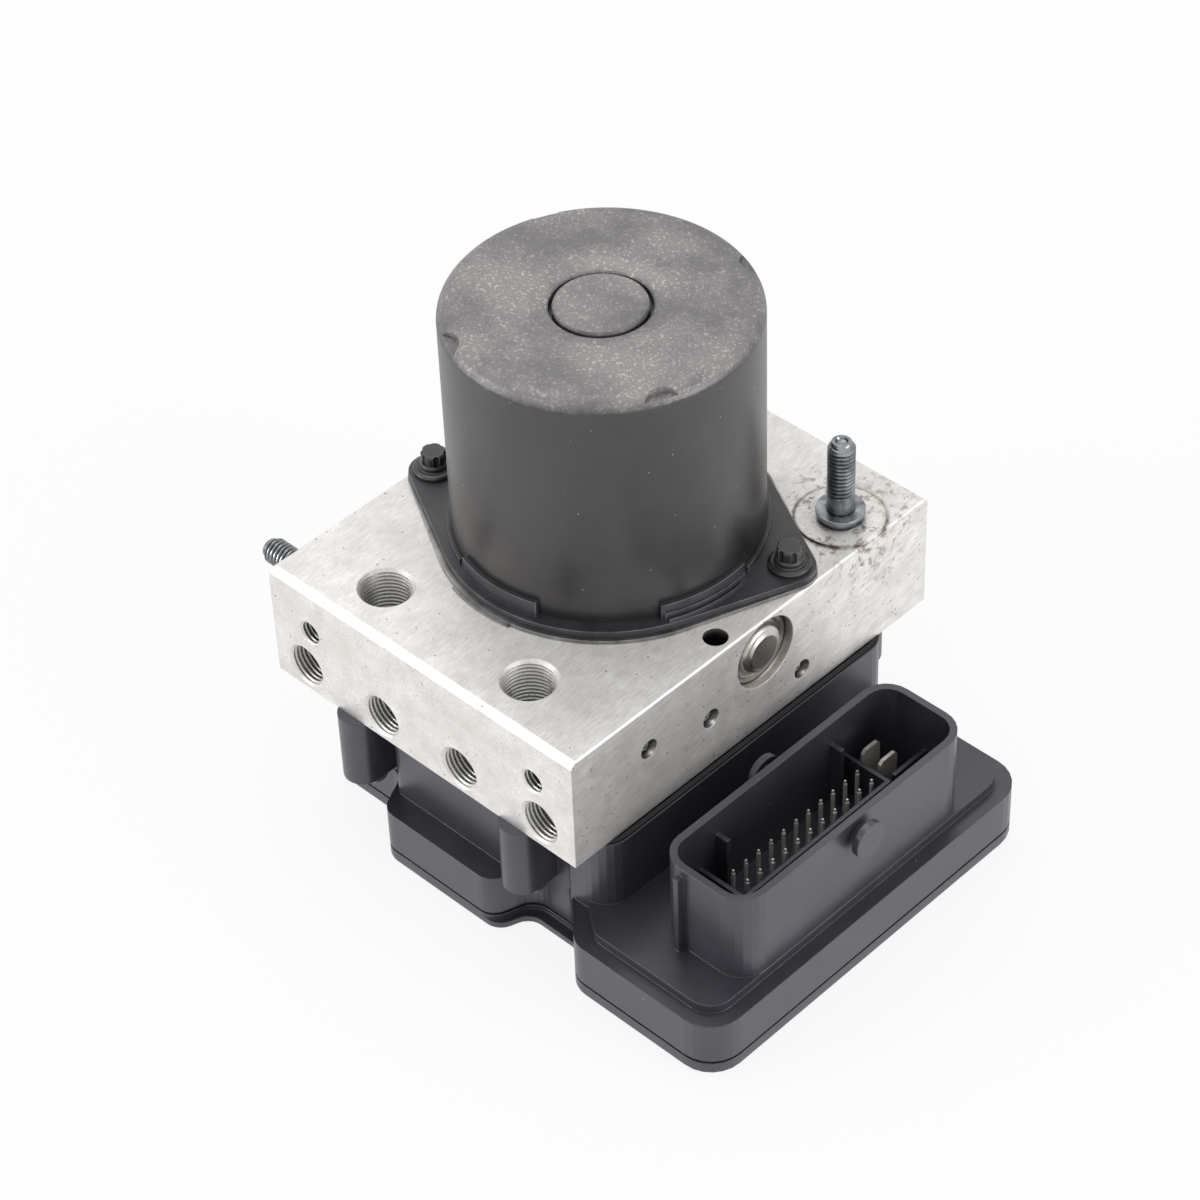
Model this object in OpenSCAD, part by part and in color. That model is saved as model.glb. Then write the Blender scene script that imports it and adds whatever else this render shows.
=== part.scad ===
// Hydraulic brake control module: pump motor, valve block and electronic control unit.
// The origin lies on the motor axis in the plane of the flat electronics cover, with Z up.
// Brake pipe ports face -Y, the wiring connector stands beside the block on +X.

/* [Electronics housing] */
// Height of the flat cover at the very bottom
cover_h = 3.5; // [3:0.1:4.5]
// Height of the tray roof above the cover's outer face
tray_h = 14.2; // [13.4:0.1:16]
// Height of the connector plateau above the tray roof
plateau_rise = 2.2; // [1.5:0.1:3.5]
// Height of the valve block's underside above the cover's outer face
ecu_h = 34; // [33:0.5:40]
// Wall thickness of the moulded housing
wall_t = 1.8; // [1.4:0.1:2.2]
// Left wall of the coil chamber, from the motor axis
chamber_left = 37; // [36.6:0.1:40]
// Right wall of the coil chamber, from the motor axis
chamber_right = 45.9; // [44.5:0.1:48]
// Back wall of the coil chamber, from the motor axis
chamber_back = 38; // [34:0.5:39]
// Front wall of the coil chamber beside the screw bosses, from the motor axis
recess_front = 49; // [47:0.2:49.6]
// Front wall of the coil chamber over the tray's bulge, from the motor axis
forward_front = 53.3; // [51.5:0.1:55]
// Step by which the tray stands out past the chamber at the left and the back
tray_step = 1.4; // [0.8:0.1:2.4]
// Front edge of the tray's bulge below the pipe ports
bulge_front = 59; // [57:0.2:61]
// Left and right end of the tray's bulge
bulge_x = [-12, 19.8]; // [-14:0.1:20]
// Front edge of the connector side of the tray
tray_front = 59.4; // [57:0.2:62]
// Right edge of the tray, from the motor axis
tray_right = 83.4; // [83:0.2:90]
// Margin between the tray's edge and the plateau
plateau_margin = 3.4; // [2.6:0.1:4]

/* [Wiring connector] */
// Centre of the connector shroud
shroud_at = [68.1, -11.55]; // [-14:0.05:70]
// Outer width of the shroud across the pin rows
shroud_w = 23.6; // [23:0.1:25]
// Outer length of the shroud along the pin rows
shroud_l = 69.7; // [68:0.1:74]
// Height of the shroud above the plateau
shroud_h = 22.5; // [20:0.5:26]
// Wall thickness of the shroud
shroud_wall = 1.6; // [1.2:0.1:1.8]
// Outer corner radius of the shroud
shroud_r = 6.5; // [4:0.5:8]
// Height of the low partitions inside the shroud
partition_h = 10.2; // [8:0.2:11]
// Thickness of the low partitions
partition_t = 1; // [0.8:0.1:1.2]
// Height of the two keys inside the shroud
key_h = 16.3; // [14:0.1:18]
// Pins in one row
pins_in_row = 11; // [8:1:11]
// Distance from the front partition to the first pin and from the last pin to the rear one
pin_row_ends = [3.5, 2.8]; // [2.4:0.1:4]
// Distance between the two rows of pins
pin_row_gap = 3.9; // [3:0.1:4.2]
// Side of a square signal pin
pin_w = 0.64; // [0.5:0.02:0.8]
// Height of the signal pins above the shroud's floor
pin_h = 11.1; // [9:0.1:13]
// Width of a power blade
blade_w = 5.3; // [4:0.1:6.3]
// Thickness of a power blade
blade_t = 0.8; // [0.6:0.1:1]
// Radius of the lever knobs on the shroud
knob_r = 4.2; // [3.4:0.1:4.6]

/* [Valve block] */
// Half width of the valve block
block_half = 44; // [43.6:0.1:46]
// Front face of the valve block, from the motor axis
block_front = 57; // [56:0.1:60]
// Back face of the valve block, from the motor axis
block_back = 51.2; // [50:0.2:56]
// Height of the valve block
block_h = 29; // [29:0.5:34]
// Chamfer on the front top edge
front_chamfer = 1.5; // [0.5:0.1:2]
// Height of the wheel ports above the block's underside
wheel_port_z = 6.2; // [5.6:0.1:8]
// Distance from the block's sides to the outer wheel ports
wheel_port_edge = 9.5; // [9.2:0.1:12]
// Thread core radius of the wheel ports, M10x1
wheel_port_r = 4.46; // [4:0.01:5]
// Depth of the wheel ports' thread
wheel_port_depth = 13; // [10:0.5:15]
// Distance from the middle to either master cylinder port
master_port_x = 20.8; // [19:0.1:23]
// Distance from the front face to the master cylinder ports
master_port_in = 12; // [9:0.1:13]
// Thread core radius of the master cylinder ports, M12x1
master_port_r = 5.46; // [5:0.01:6]
// Depth of the master cylinder ports' thread
master_port_depth = 12.5; // [10:0.5:13]
// Distance from the block's sides to the bracket holes in the front face
bracket_edge = 11.4; // [8:0.1:14]
// Height of the bracket holes above the block's underside
bracket_z = 17; // [15:0.1:20]
// Thread core radius of the bracket holes, M6
bracket_r = 2.5; // [2:0.05:2.6]

/* [Motor] */
// Distance from the motor can to the block's sides
can_margin = 10.9; // [10.6:0.02:11.6]
// Wall thickness of the motor can
can_wall = 1.8; // [1.4:0.1:2]
// Height of the motor can above its flange
can_h = 57; // [54:0.5:64]
// Corner radius at the top of the can
can_round = 3; // [2:0.1:4]
// Radius of the raised disc on the can's end
can_disc_r = 9.9; // [9.6:0.1:10.4]
// Thickness of the plate below the motor flange
plate_t = 0.9; // [0.8:0.1:2]
// Thickness of the motor flange
flange_t = 1.5; // [1.3:0.1:3]
// Width of the motor flange outside the can
flange_rim = 2.86; // [2.6:0.02:4.4]
// Distance of one motor screw from the can's side line and from the motor axis
motor_screw_off = [5.2, 13.8]; // [4:0.02:15]
// Radius of the motor screws' thread, M6
motor_screw_r = 2.95; // [2.4:0.05:3]
// Radius of the rotor shaft
shaft_r = 4; // [3.8:0.05:4.2]
// Air gap between the rotor core and the magnets
air_gap = 0.64; // [0.5:0.02:1.2]
// Slots round the rotor core
slots = 12; // [10:1:14]
// Radial thickness of the magnets
magnet_t = 5.8; // [5:0.1:6]
// Radius of the commutator
commutator_r = 9.5; // [9:0.1:10.2]
// Radial clearance of turning and sliding pieces
run_gap = 0.04; // [0.02:0.01:0.08]

/* [Pumps] */
// Height of the pump axis above the block's underside
pump_z = 19.8; // [19.6:0.1:20]
// Throw of the eccentric on the rotor shaft
throw = 0.9; // [0.5:0.1:1.1]
// Outer radius of the ring on the eccentric
ring_r = 8.5; // [8:0.1:9]
// Radius of the pump pistons
piston_r = 3.5; // [3:0.1:3.6]
// Length of the pump pistons
piston_l = 17.5; // [15:0.5:18.5]
// Outer radius of the pump sleeves
sleeve_r = 6.9; // [6:0.1:7]
// Radius of the counterbore at either pump plug
plug_mouth_r = 8.5; // [8:0.1:9]

/* [Accumulators] */
// Distance from the middle to either accumulator
accu_x = 15.5; // [14.5:0.1:16.5]
// Radius of the accumulator bores
accu_r = 9.3; // [8:0.1:9.6]
// Depth of the accumulator bores
accu_depth = 23.7; // [22:0.1:25]
// Wall of the accumulator pistons
accu_wall = 1.6; // [1.2:0.1:2]

/* [Solenoid valves] */
// Distance between neighbouring valves in a row
valve_pitch = 17.6; // [17:0.1:17.8]
// Distance from the motor axis to the inlet valves
inlet_y = -30; // [-31:0.1:-29.5]
// Distance between the inlet and the outlet valves
valve_row_gap = 18; // [17.4:0.1:18.5]
// Radius of the valve bodies in the block
valve_r = 4.6; // [4.2:0.1:5]
// Outer radius of the valve domes
dome_r = 3.4; // [3.2:0.1:3.6]
// Outer radius of the coil yokes
coil_r = 8.3; // [7.6:0.1:8.4]
// Height of the coils
coil_h = 15; // [13:0.5:15.5]
// Travel of a valve armature
valve_travel = 0.3; // [0.2:0.05:0.4]

/* [Studs and plugs] */
// Distance of the top stud from the block's right side and from its back face
stud_edge = [9.5, 17.1]; // [9:0.1:19]
// Height of the top stud above the block
stud_h = 20.8; // [16:0.2:28]
// Distance of the side stud from the front face and from the underside
side_stud_edge = [12.8, 17.1]; // [12:0.1:18]
// Length of the side stud outside the block
side_stud_l = 15; // [10:0.5:20]
// Radius of the M6 studs
stud_r = 3; // [2.4:0.05:3]
// Radius of the steel balls that close the drillings
ball_r = 2.3; // [1.8:0.1:2.4]
// Radius of the screws that hold the electronics housing
ecu_screw_r = 1.9; // [1.5:0.1:2]
// Radius of the housing's screw bosses
boss_r = 4.4; // [3.9:0.1:4.6]

/* [Circuit board] */
// Thickness of the circuit board
board_t = 1.6; // [1.2:0.1:2]
// Height of the board's underside above the cover's outer face
board_z = 8; // [7.6:0.1:8.4]

/* [Hidden] */
$fn = 64;

// Levels along Z
plateau_z = tray_h + plateau_rise;
block_top = ecu_h + block_h;
flange_z = block_top + plate_t;
can_z = flange_z + flange_t;
can_top = can_z + can_h;
pump_axis_z = ecu_h + pump_z;
board_top = board_z + board_t;

// Clearances that mating pieces share
fit = 0.02;
seam = 0.7;
seat_gap = 0.3;

// Where the tray's edge starts its slant beside the chamber
tray_diag_x = 34.3;

// Outlines as corners [x, y, corner radius], counterclockwise
tray_outline = [
    [-chamber_left - tray_step, -recess_front, 4],
    [bulge_x[0] - 4.6, -recess_front, 5],
    [bulge_x[0], -bulge_front, 4.5],
    [bulge_x[1], -bulge_front, 4.5],
    [bulge_x[1] + 3.4, -recess_front, 5],
    [tray_diag_x, -recess_front, 4],
    [tray_diag_x + tray_front - recess_front, -tray_front, 6],
    [tray_right, -tray_front, 8],
    [tray_right, chamber_back + tray_step, 8],
    [-chamber_left - tray_step, chamber_back + tray_step, 6]];
// The cover's foot fills part of the neck between the bulge and the connector side
neck_fill = 2.6;
foot_outline = [
    [-chamber_left - tray_step, -recess_front, 4],
    [bulge_x[0] - 4.6, -recess_front, 5],
    [bulge_x[0], -bulge_front, 4.5],
    [bulge_x[1] + 1.6, -bulge_front, 4.5],
    [bulge_x[1] + 4.2, -recess_front - neck_fill, 4],
    [tray_diag_x + neck_fill, -recess_front - neck_fill, 3],
    [tray_diag_x + tray_front - recess_front, -tray_front, 6],
    [tray_right, -tray_front, 8],
    [tray_right, chamber_back + tray_step, 8],
    [-chamber_left - tray_step, chamber_back + tray_step, 6]];
chamber_outline = [
    [-chamber_left, -recess_front, 5],
    [bulge_x[0] - 3.5, -recess_front, 1.5],
    [bulge_x[0] - 2.5, -forward_front, 3.5],
    [bulge_x[1] + 1.2, -forward_front, 2],
    [bulge_x[1] + 2.7, -recess_front, 1.5],
    [tray_diag_x - 0.3, -recess_front, 0.8],
    [tray_diag_x + 0.5, -recess_front - 1.2, 0.8],
    [chamber_right, -recess_front - 1.2, 6.5],
    [chamber_right, chamber_back, 6],
    [-chamber_left, chamber_back, 6]];
plateau_outline = [
    [chamber_right - 6, -recess_front + 4, 0],
    [tray_diag_x + 1.1 + plateau_margin * 1.4, -recess_front + 2.2 - plateau_margin, 2],
    [tray_diag_x + 1.4 + plateau_margin * 0.42 + tray_front - recess_front,
        plateau_margin - tray_front, 5],
    [tray_right - plateau_margin, plateau_margin - tray_front, 5.5],
    [tray_right - plateau_margin, chamber_back + tray_step - plateau_margin, 5.5],
    [chamber_right - 6, chamber_back + tray_step - plateau_margin, 0]];

// Connector
shroud_floor = plateau_z;
shroud_top = plateau_z + shroud_h;
shroud_in_w = shroud_w - 2 * shroud_wall;
shroud_in_l = shroud_l - 2 * shroud_wall;
shroud_left = shroud_at[0] - shroud_in_w / 2;
shroud_right = shroud_at[0] + shroud_in_w / 2;
shroud_front = shroud_at[1] - shroud_in_l / 2;
shroud_back = shroud_at[1] + shroud_in_l / 2;
pin_mid_x = shroud_at[0] - 2.55;
pin_rows_x = [pin_mid_x - pin_row_gap / 2, pin_mid_x + pin_row_gap / 2];
lone_pin = [pin_mid_x + 0.35, shroud_front + 7.6];
long_wall_x = shroud_at[0] + 1.6;
front_wall_y = shroud_front + 9.7;
mid_wall_y = shroud_back - 12.1;
pin_y0 = front_wall_y + pin_row_ends[0];
pin_pitch = (mid_wall_y - pin_row_ends[1] - pin_y0) / (pins_in_row - 1);
blade_y = shroud_back - 7.65;
blades_x = [pin_mid_x - 4.6, pin_mid_x + 0.15];
key_ys = [shroud_front + 15, shroud_back - 16.4];
key_t = 1.2;
key_out = 2.9;
knob_y = shroud_at[1];
knob_z = shroud_top - knob_r - 0.5;
knob_t = 1.5;
knob_stem = 1.6;
pin_slot = pin_w + 2 * fit;

// Valve block
spot_r = 9.7;
spot_h = 0.4;
wheel_port_pitch = 2 * (block_half - wheel_port_edge) / 3;
wheel_ports_x = [for (i = [0:3]) (i - 1.5) * wheel_port_pitch - 0.5];
bracket_x = block_half - bracket_edge;
stud_at = [block_half - stud_edge[0], block_back - stud_edge[1]];
side_stud_at = [side_stud_edge[0] - block_front, side_stud_edge[1]];
central_r = 13.5;
central_floor = pump_axis_z - 6.3;
plug_depth = 3;
tooling_hole = [block_half - 4, -10.7];
tooling_hole_r = 2.7;
tooling_hole_depth = 6;
ball_holes = [[-34.9, 17.4], [-16.6, 12.8], [11.4, 7.1]];
ball_hole_depth = 6.5;

// Motor
can_r = block_half - can_margin;
flange_r = can_r + flange_rim;
motor_screw_at = [can_r + motor_screw_off[0], motor_screw_off[1]];
motor_screw_in = 15.5;
motor_screw_point = 0.5;
ear_r = 5.6;
hub_r = central_r - 0.05;
front_bearing_r = 11;
rear_bearing_r = 8;
front_bearing_w = 5.5;
rear_bearing_w = 5;
hub_lip = 0.8;
hub_bottom = flange_z - front_bearing_w - hub_lip;
can_in_r = can_r - can_wall;
rear_bearing_top = can_top - can_wall - 1.5;
magnet_in_r = can_in_r - fit - magnet_t;
commutator_z = can_z + 2.6;
commutator_l = 9.5;
winding_end = 3.2;
winding_gap = 1.04;
end_room = 2.66;
core_z = commutator_z + commutator_l + winding_gap + winding_end;
core_l = rear_bearing_top - rear_bearing_w - end_room - winding_end - core_z;
core_mid = core_z + core_l / 2;
core_r = magnet_in_r - air_gap;
magnet_l = core_l + 10;
slot_depth = 9.64;
slot_out_r = core_r - 2.2;
slot_in_r = slot_out_r - slot_depth;
winding_in_r = slot_in_r - 3.5;
slot_in_w = 3;
slot_out_w = 2 * PI * slot_out_r / slots - 3.4;
brush_z = commutator_z + 1;
brush_h = 6;
brush_w = 5;
brush_l = 9;
holder_t = 2;
contact_at = [0, 20];
contact_r = 0.9;
contact_gap = 3.4;
contact_sleeve_r = 3.5;

// Pumps, with the pistons at the inner end of their stroke
eccentric_w = 7;
piston_tip = ring_r + throw + 0.05;
piston_end = piston_tip + piston_l;
sleeve_x0 = central_r + 0.7;
plug_len = 9;
plug_in_x = block_half - plug_len;
pump_bore_r = sleeve_r + fit;

// Accumulators
accu_z = ecu_h + block_h / 2;
accu_floor = block_back - accu_depth;
accu_rest_gap = 0.2;
accu_piston_l = 8.5;
accu_crown_t = 3;
accu_spring_wire = 0.7;
accu_spring_in = 3.4;
accu_cap_t = 3.4;
accu_cap_y = block_back - 1 - accu_cap_t;

// Solenoid valves
valve_xs = [for (i = [0:3]) (i - 1.5) * valve_pitch];
outlet_y = inlet_y + valve_row_gap;
valve_rows = [inlet_y, outlet_y];
valve_depth = 11;
valve_flange_r = valve_r + 1.4;
valve_flange_t = 2;
dome_wall = 0.4;
dome_in = ecu_h + 4;
dome_bottom = ecu_h - coil_h - 1.4;
armature_r = dome_r - dome_wall - run_gap;
armature_z = dome_bottom + dome_r - 0.5;
armature_top = ecu_h - 3.6;
needle_r = 0.7;
needle_top = ecu_h + 4.6;
valve_spring_wire = 0.2;
valve_spring_l = 3.6;
pole_bottom = armature_top + 0.8;
coil_top = ecu_h - 0.6;
coil_z = coil_top - coil_h;
yoke_t = 0.8;
coil_bore = dome_r + 0.15;
coil_pin_r = 0.4;
coil_pin_off = 5.4;

// Screws
ecu_screw_xs = [-21.9, 26];
ecu_screw_front = block_front - 4.4;
ecu_screw_back_x = 33;
ecu_screw_back = chamber_back + 5.8;
ecu_screws_at = [[ecu_screw_xs[0], -ecu_screw_front], [ecu_screw_xs[1], -ecu_screw_front],
    [-ecu_screw_back_x, ecu_screw_back], [ecu_screw_back_x, ecu_screw_back]];
ecu_head_r = 3.3;
boss_front = block_front + 2.4 - boss_r;
stud_in = 13;
side_stud_in = 9;
stud_core_r = stud_r - 0.25;
stud_point = 1.6;
collar_t = 2.4;

// Plane geometry helpers
function unit(v) = v / norm(v);
function side(v) = [-v[1], v[0]];
function turn_sign(u, v) = sign(u[0] * v[1] - u[1] * v[0]);
function spun(v, a) = [v[0] * cos(a) - v[1] * sin(a), v[0] * sin(a) + v[1] * cos(a)];
function at(p) = [p[0], p[1]];
// Points of an outline with each corner rounded, concave corners too
function rounded(p, step = 15) = [for (i = [0:len(p) - 1]) let (
    n = len(p),
    b = at(p[i]),
    u = unit(b - at(p[(i + n - 1) % n])),
    v = unit(at(p[(i + 1) % n]) - b),
    r = p[i][2],
    t = acos(u * v),
    s = turn_sign(u, v),
    steps = max(1, ceil(t / step)),
    first = b - u * r * tan(t / 2),
    c = first + side(u) * s * r)
    each (r == 0 ? [b] : [for (j = [0:steps]) c + spun(-side(u) * s * r, s * t * j / steps)])];
// The same outline moved inwards by d
function inset(p, d) = [for (i = [0:len(p) - 1]) let (
    n = len(p),
    b = at(p[i]),
    u = unit(b - at(p[(i + n - 1) % n])),
    v = unit(at(p[(i + 1) % n]) - b),
    m = (side(u) + side(v)) / (1 + u * v))
    [b[0] + m[0] * d, b[1] + m[1] * d,
        p[i][2] == 0 ? 0 : max(0.2, p[i][2] - turn_sign(u, v) * d)]];
function rect(c, w, l, r) = [[c[0] - w / 2, c[1] - l / 2, r], [c[0] + w / 2, c[1] - l / 2, r],
    [c[0] + w / 2, c[1] + l / 2, r], [c[0] - w / 2, c[1] + l / 2, r]];
function arc(c, r, a0, a1, steps) = [for (j = [0:steps]) let (a = a0 + (a1 - a0) * j / steps)
    [c[0] + r * cos(a), c[1] + r * sin(a)]];

// Solid between two heights over an outline
module slab(p, z0, z1) {
    translate([0, 0, z0]) linear_extrude(z1 - z0) polygon(rounded(p));
}

// Axial box from one corner to the other
module box(a, b) {
    translate(a) cube(b - a);
}

// Round bar or hole between two heights
module rod(p, z0, z1, r) {
    translate([p[0], p[1], z0]) cylinder(h = z1 - z0, r = r);
}

// Round bar or hole along +X from x0 to x1
module rod_x(x0, x1, y, z, r) {
    translate([x0, y, z]) rotate([0, 90, 0]) cylinder(h = x1 - x0, r = r);
}

// Round bar or hole along +Y from y0 to y1
module rod_y(y0, y1, x, z, r) {
    translate([x, y0, z]) rotate([-90, 0, 0]) cylinder(h = y1 - y0, r = r);
}

// Ring between two heights
module ring(p, z0, z1, r_in, r_out) {
    translate([p[0], p[1], z0]) difference() {
        cylinder(h = z1 - z0, r = r_out);
        translate([0, 0, -1]) cylinder(h = z1 - z0 + 2, r = r_in);
    }
}

// Coil of round wire that stands on Z = 0
module coil_spring(r, wire, length, turns, per_turn = 10, sides = 5) {
    n = round(turns * per_turn);
    points = [for (i = [0:n], k = [0:sides - 1]) let (
        a = 360 * i / per_turn, b = 360 * k / sides,
        q = r + wire * cos(b), z = wire + (length - 2 * wire) * i / n + wire * sin(b))
        [q * cos(a), q * sin(a), z]];
    walls = [for (i = [0:n - 1], k = [0:sides - 1]) let (
        a = i * sides + k, b = i * sides + (k + 1) % sides)
        each [[a, b, b + sides], [a, b + sides, a + sides]]];
    ends = [[for (k = [0:sides - 1]) sides - 1 - k], [for (k = [0:sides - 1]) n * sides + k]];
    polyhedron(points, concat(walls, ends));
}

// Box of the block with its bevelled top edges
module block_body() {
    side_chamfer = 1;
    right_chamfer = 0.4;
    intersection() {
        translate([-block_half, 0, ecu_h]) rotate([90, 0, 90]) linear_extrude(2 * block_half)
            polygon([[-block_front, 0], [block_back, 0], [block_back, block_h - side_chamfer],
                [block_back - side_chamfer, block_h], [front_chamfer - block_front, block_h],
                [-block_front, block_h - front_chamfer]]);
        translate([0, block_back + 1, ecu_h]) rotate([90, 0, 0])
            linear_extrude(block_front + block_back + 2)
            polygon([[-block_half, -1], [block_half, -1],
                [block_half, block_h - right_chamfer], [block_half - right_chamfer, block_h + 0.1],
                [side_chamfer - block_half, block_h + 0.1],
                [-block_half, block_h - side_chamfer]]);
    }
}

module valve_block() {
    color("gainsboro") difference() {
        union() {
            block_body();
            intersection() {
                rod(stud_at, block_top - 1, block_top + spot_h, spot_r);
                box([-block_half, -block_front, ecu_h],
                    [block_half - 0.4, block_back - 1, block_top + 1]);
            }
        }
        // Pump chamber below the motor and the bore of both pumps
        rod([0, 0], central_floor, block_top + 1, central_r);
        for (s = [0, 180]) rotate([0, 0, s]) {
            rod_x(0, block_half - plug_depth, 0, pump_axis_z, pump_bore_r);
            rod_x(block_half - plug_depth - 0.01, block_half + 1, 0, pump_axis_z, plug_mouth_r);
            for (b = ball_holes) {
                rod_x(block_half - ball_hole_depth, block_half + 1, b[0], ecu_h + b[1], ball_r + fit);
                rod_x(block_half - ball_hole_depth - 6, block_half - 1, b[0], ecu_h + b[1],
                    0.6 * ball_r);
            }
        }
        // Wheel ports with a countersunk mouth and the drilling behind
        for (x = wheel_ports_x) {
            rod_y(-block_front - 1, wheel_port_depth - block_front, x, ecu_h + wheel_port_z,
                wheel_port_r);
            rod_y(-block_front - 1, wheel_port_depth + 3 - block_front, x,
                ecu_h + wheel_port_z, 1.8);
            translate([x, -block_front - 0.01, ecu_h + wheel_port_z]) rotate([-90, 0, 0])
                cylinder(h = 0.75, r1 = wheel_port_r + 0.75, r2 = wheel_port_r);
        }
        // Master cylinder ports
        for (s = [-1, 1]) translate([s * master_port_x, master_port_in - block_front, 0]) {
            rod([0, 0], block_top - master_port_depth, block_top + 1, master_port_r);
            rod([0, 0], block_top - master_port_depth - 4, block_top, 2);
            translate([0, 0, block_top - 0.74])
                cylinder(h = 0.75, r1 = master_port_r, r2 = master_port_r + 0.75);
        }
        // Bracket holes
        for (s = [-1, 1]) {
            rod_y(-block_front - 1, 9 - block_front, s * bracket_x, ecu_h + bracket_z, bracket_r);
            translate([s * bracket_x, -block_front - 0.01, ecu_h + bracket_z]) rotate([-90, 0, 0])
                cylinder(h = 0.45, r1 = bracket_r + 0.45, r2 = bracket_r);
        }
        rod(tooling_hole, block_top - tooling_hole_depth, block_top + 1, tooling_hole_r);
        // Accumulator bores from the back
        for (s = [-1, 1]) {
            rod_y(accu_floor, block_back + 1, s * accu_x, accu_z, accu_r);
            rod_y(accu_floor - 4, block_back, s * accu_x, accu_z, 1.8);
        }
        // Valve seats from below
        for (x = valve_xs, y = valve_rows) {
            rod([x, y], ecu_h - 1, ecu_h + valve_depth, valve_r + fit);
            rod([x, y], ecu_h - 1, ecu_h + valve_flange_t, valve_flange_r + fit);
        }
        // Threaded holes of the motor screws, the housing screws and the studs
        for (s = [-1, 1])
            rod(s * motor_screw_at, block_top - motor_screw_in - motor_screw_point,
                block_top + 1, motor_screw_r + fit);
        for (p = ecu_screws_at) rod(p, ecu_h - 1, ecu_h + 11.5, ecu_screw_r + fit);
        rod(stud_at, block_top - stud_in - 1, block_top + 1, stud_core_r + fit);
        rod_x(-block_half - 1, side_stud_in - block_half, side_stud_at[0],
            ecu_h + side_stud_at[1], stud_core_r + fit);
        rod(contact_at, ecu_h - 1, block_top + 1, contact_sleeve_r + fit);
    }
}

module ball_plugs() {
    color("lightgray") for (s = [0, 180]) rotate([0, 0, s]) for (b = ball_holes)
        translate([block_half - ball_r - 1, b[0], ecu_h + b[1]]) sphere(r = ball_r);
}

module motor_can() {
    dish_r = can_disc_r + 4.6;
    groove_r = can_disc_r + 0.8;
    disc_top = can_top - 0.4;
    cup_r = rear_bearing_r + fit;
    cup_z = rear_bearing_top - rear_bearing_w;
    color("dimgray") difference() {
        rotate_extrude() polygon(concat(
            [[can_in_r, can_z], [can_r, can_z]],
            arc([can_r - can_round, can_top - can_round], can_round, 0, 90, 6),
            [[dish_r, can_top], [groove_r + 0.4, can_top - 1],
                [groove_r, can_top - 1.3], [groove_r, can_top - 3.4],
                [can_disc_r, can_top - 3.4], [can_disc_r, disc_top - 0.9],
                [can_disc_r - 0.3, disc_top - 0.3], [can_disc_r - 1, disc_top],
                [0, disc_top], [0, disc_top - can_wall],
                [cup_r, disc_top - can_wall], [cup_r, cup_z],
                [dish_r - 1, cup_z], [dish_r - 1, can_top - can_wall - 1.4],
                [dish_r + 1.5, can_top - can_wall]],
            arc([can_r - can_round, can_top - can_round], can_round - can_wall, 90, 0, 3)));
        // Four stamped notches at the rim, each with a curved inner wall
        for (a = [65:90:335]) rotate([0, 0, a])
            rod([can_r + 1.1, 0], can_top - 1.4, can_top + 1, 4);
    }
}

// Round flange with two opposite screw ears, the disc widened by e and the ears by e_ear;
// straight edges touch both circles
module flange_shape(e, e_ear) {
    r = flange_r + e;
    q = ear_r + e_ear;
    ear_at = norm(motor_screw_at);
    turn = acos((r - q) / ear_at);
    circle(r = r);
    for (s = [0, 180]) rotate(s + atan2(motor_screw_at[1], motor_screw_at[0])) {
        translate([ear_at, 0]) circle(r = q);
        polygon(concat(arc([0, 0], r - 0.01, -turn, turn, 1),
            arc([ear_at, 0], q - 0.01, turn, -turn, 1)));
    }
}

// Upright rib along an arc of the flange
module arc_rib(r0, r1, a0, a1, z0, z1) {
    intersection() {
        ring([0, 0], z0, z1, r0, r1);
        translate([0, 0, z0 - 1]) linear_extrude(z1 - z0 + 2)
            polygon(concat([[0, 0]], arc([0, 0], 2 * r1, a0, a1, 8)));
    }
}

module motor_flange() {
    collar_h = 1.2;
    collar_from = 11;
    collar_to = 248;
    low = can_z - 0.5;
    rib_h = 3.7;
    rib_top = can_z + rib_h;
    rib_in = can_r - 0.3;
    rib_out = can_r + 1.2;
    rib_step_h = 1.9;
    rib_lip_h = 0.8;
    color([0.13, 0.13, 0.14]) difference() {
        union() {
            translate([0, 0, flange_z]) linear_extrude(flange_t) flange_shape(0, 0);
            // Low collar behind, open to the front where the can's foot shows
            arc_rib(rib_in, can_r + 0.9, collar_from, collar_to, low, can_z + collar_h);
            // High ribs that hold the can, the right one with a step and a low lip outside
            arc_rib(rib_in, rib_out, -108, -72, low, rib_top);
            arc_rib(rib_in, rib_out, -28, 8, low, rib_top);
            arc_rib(rib_in, rib_out + 0.6, -27, 7, low, can_z + rib_step_h);
            arc_rib(rib_out + 0.85, rib_out + 1.35, -26, 4, low, can_z + rib_lip_h);
        }
        rod([0, 0], can_z, rib_top + 1, can_r + fit);
        rod([0, 0], flange_z - 1, can_z + 1, front_bearing_r + 1);
        rod(contact_at, flange_z - 1, can_z + 1, contact_sleeve_r + fit);
        for (s = [-1, 1]) rod(s * motor_screw_at, flange_z - 1, can_z + 1, motor_screw_r + 0.2);
    }
}

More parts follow.
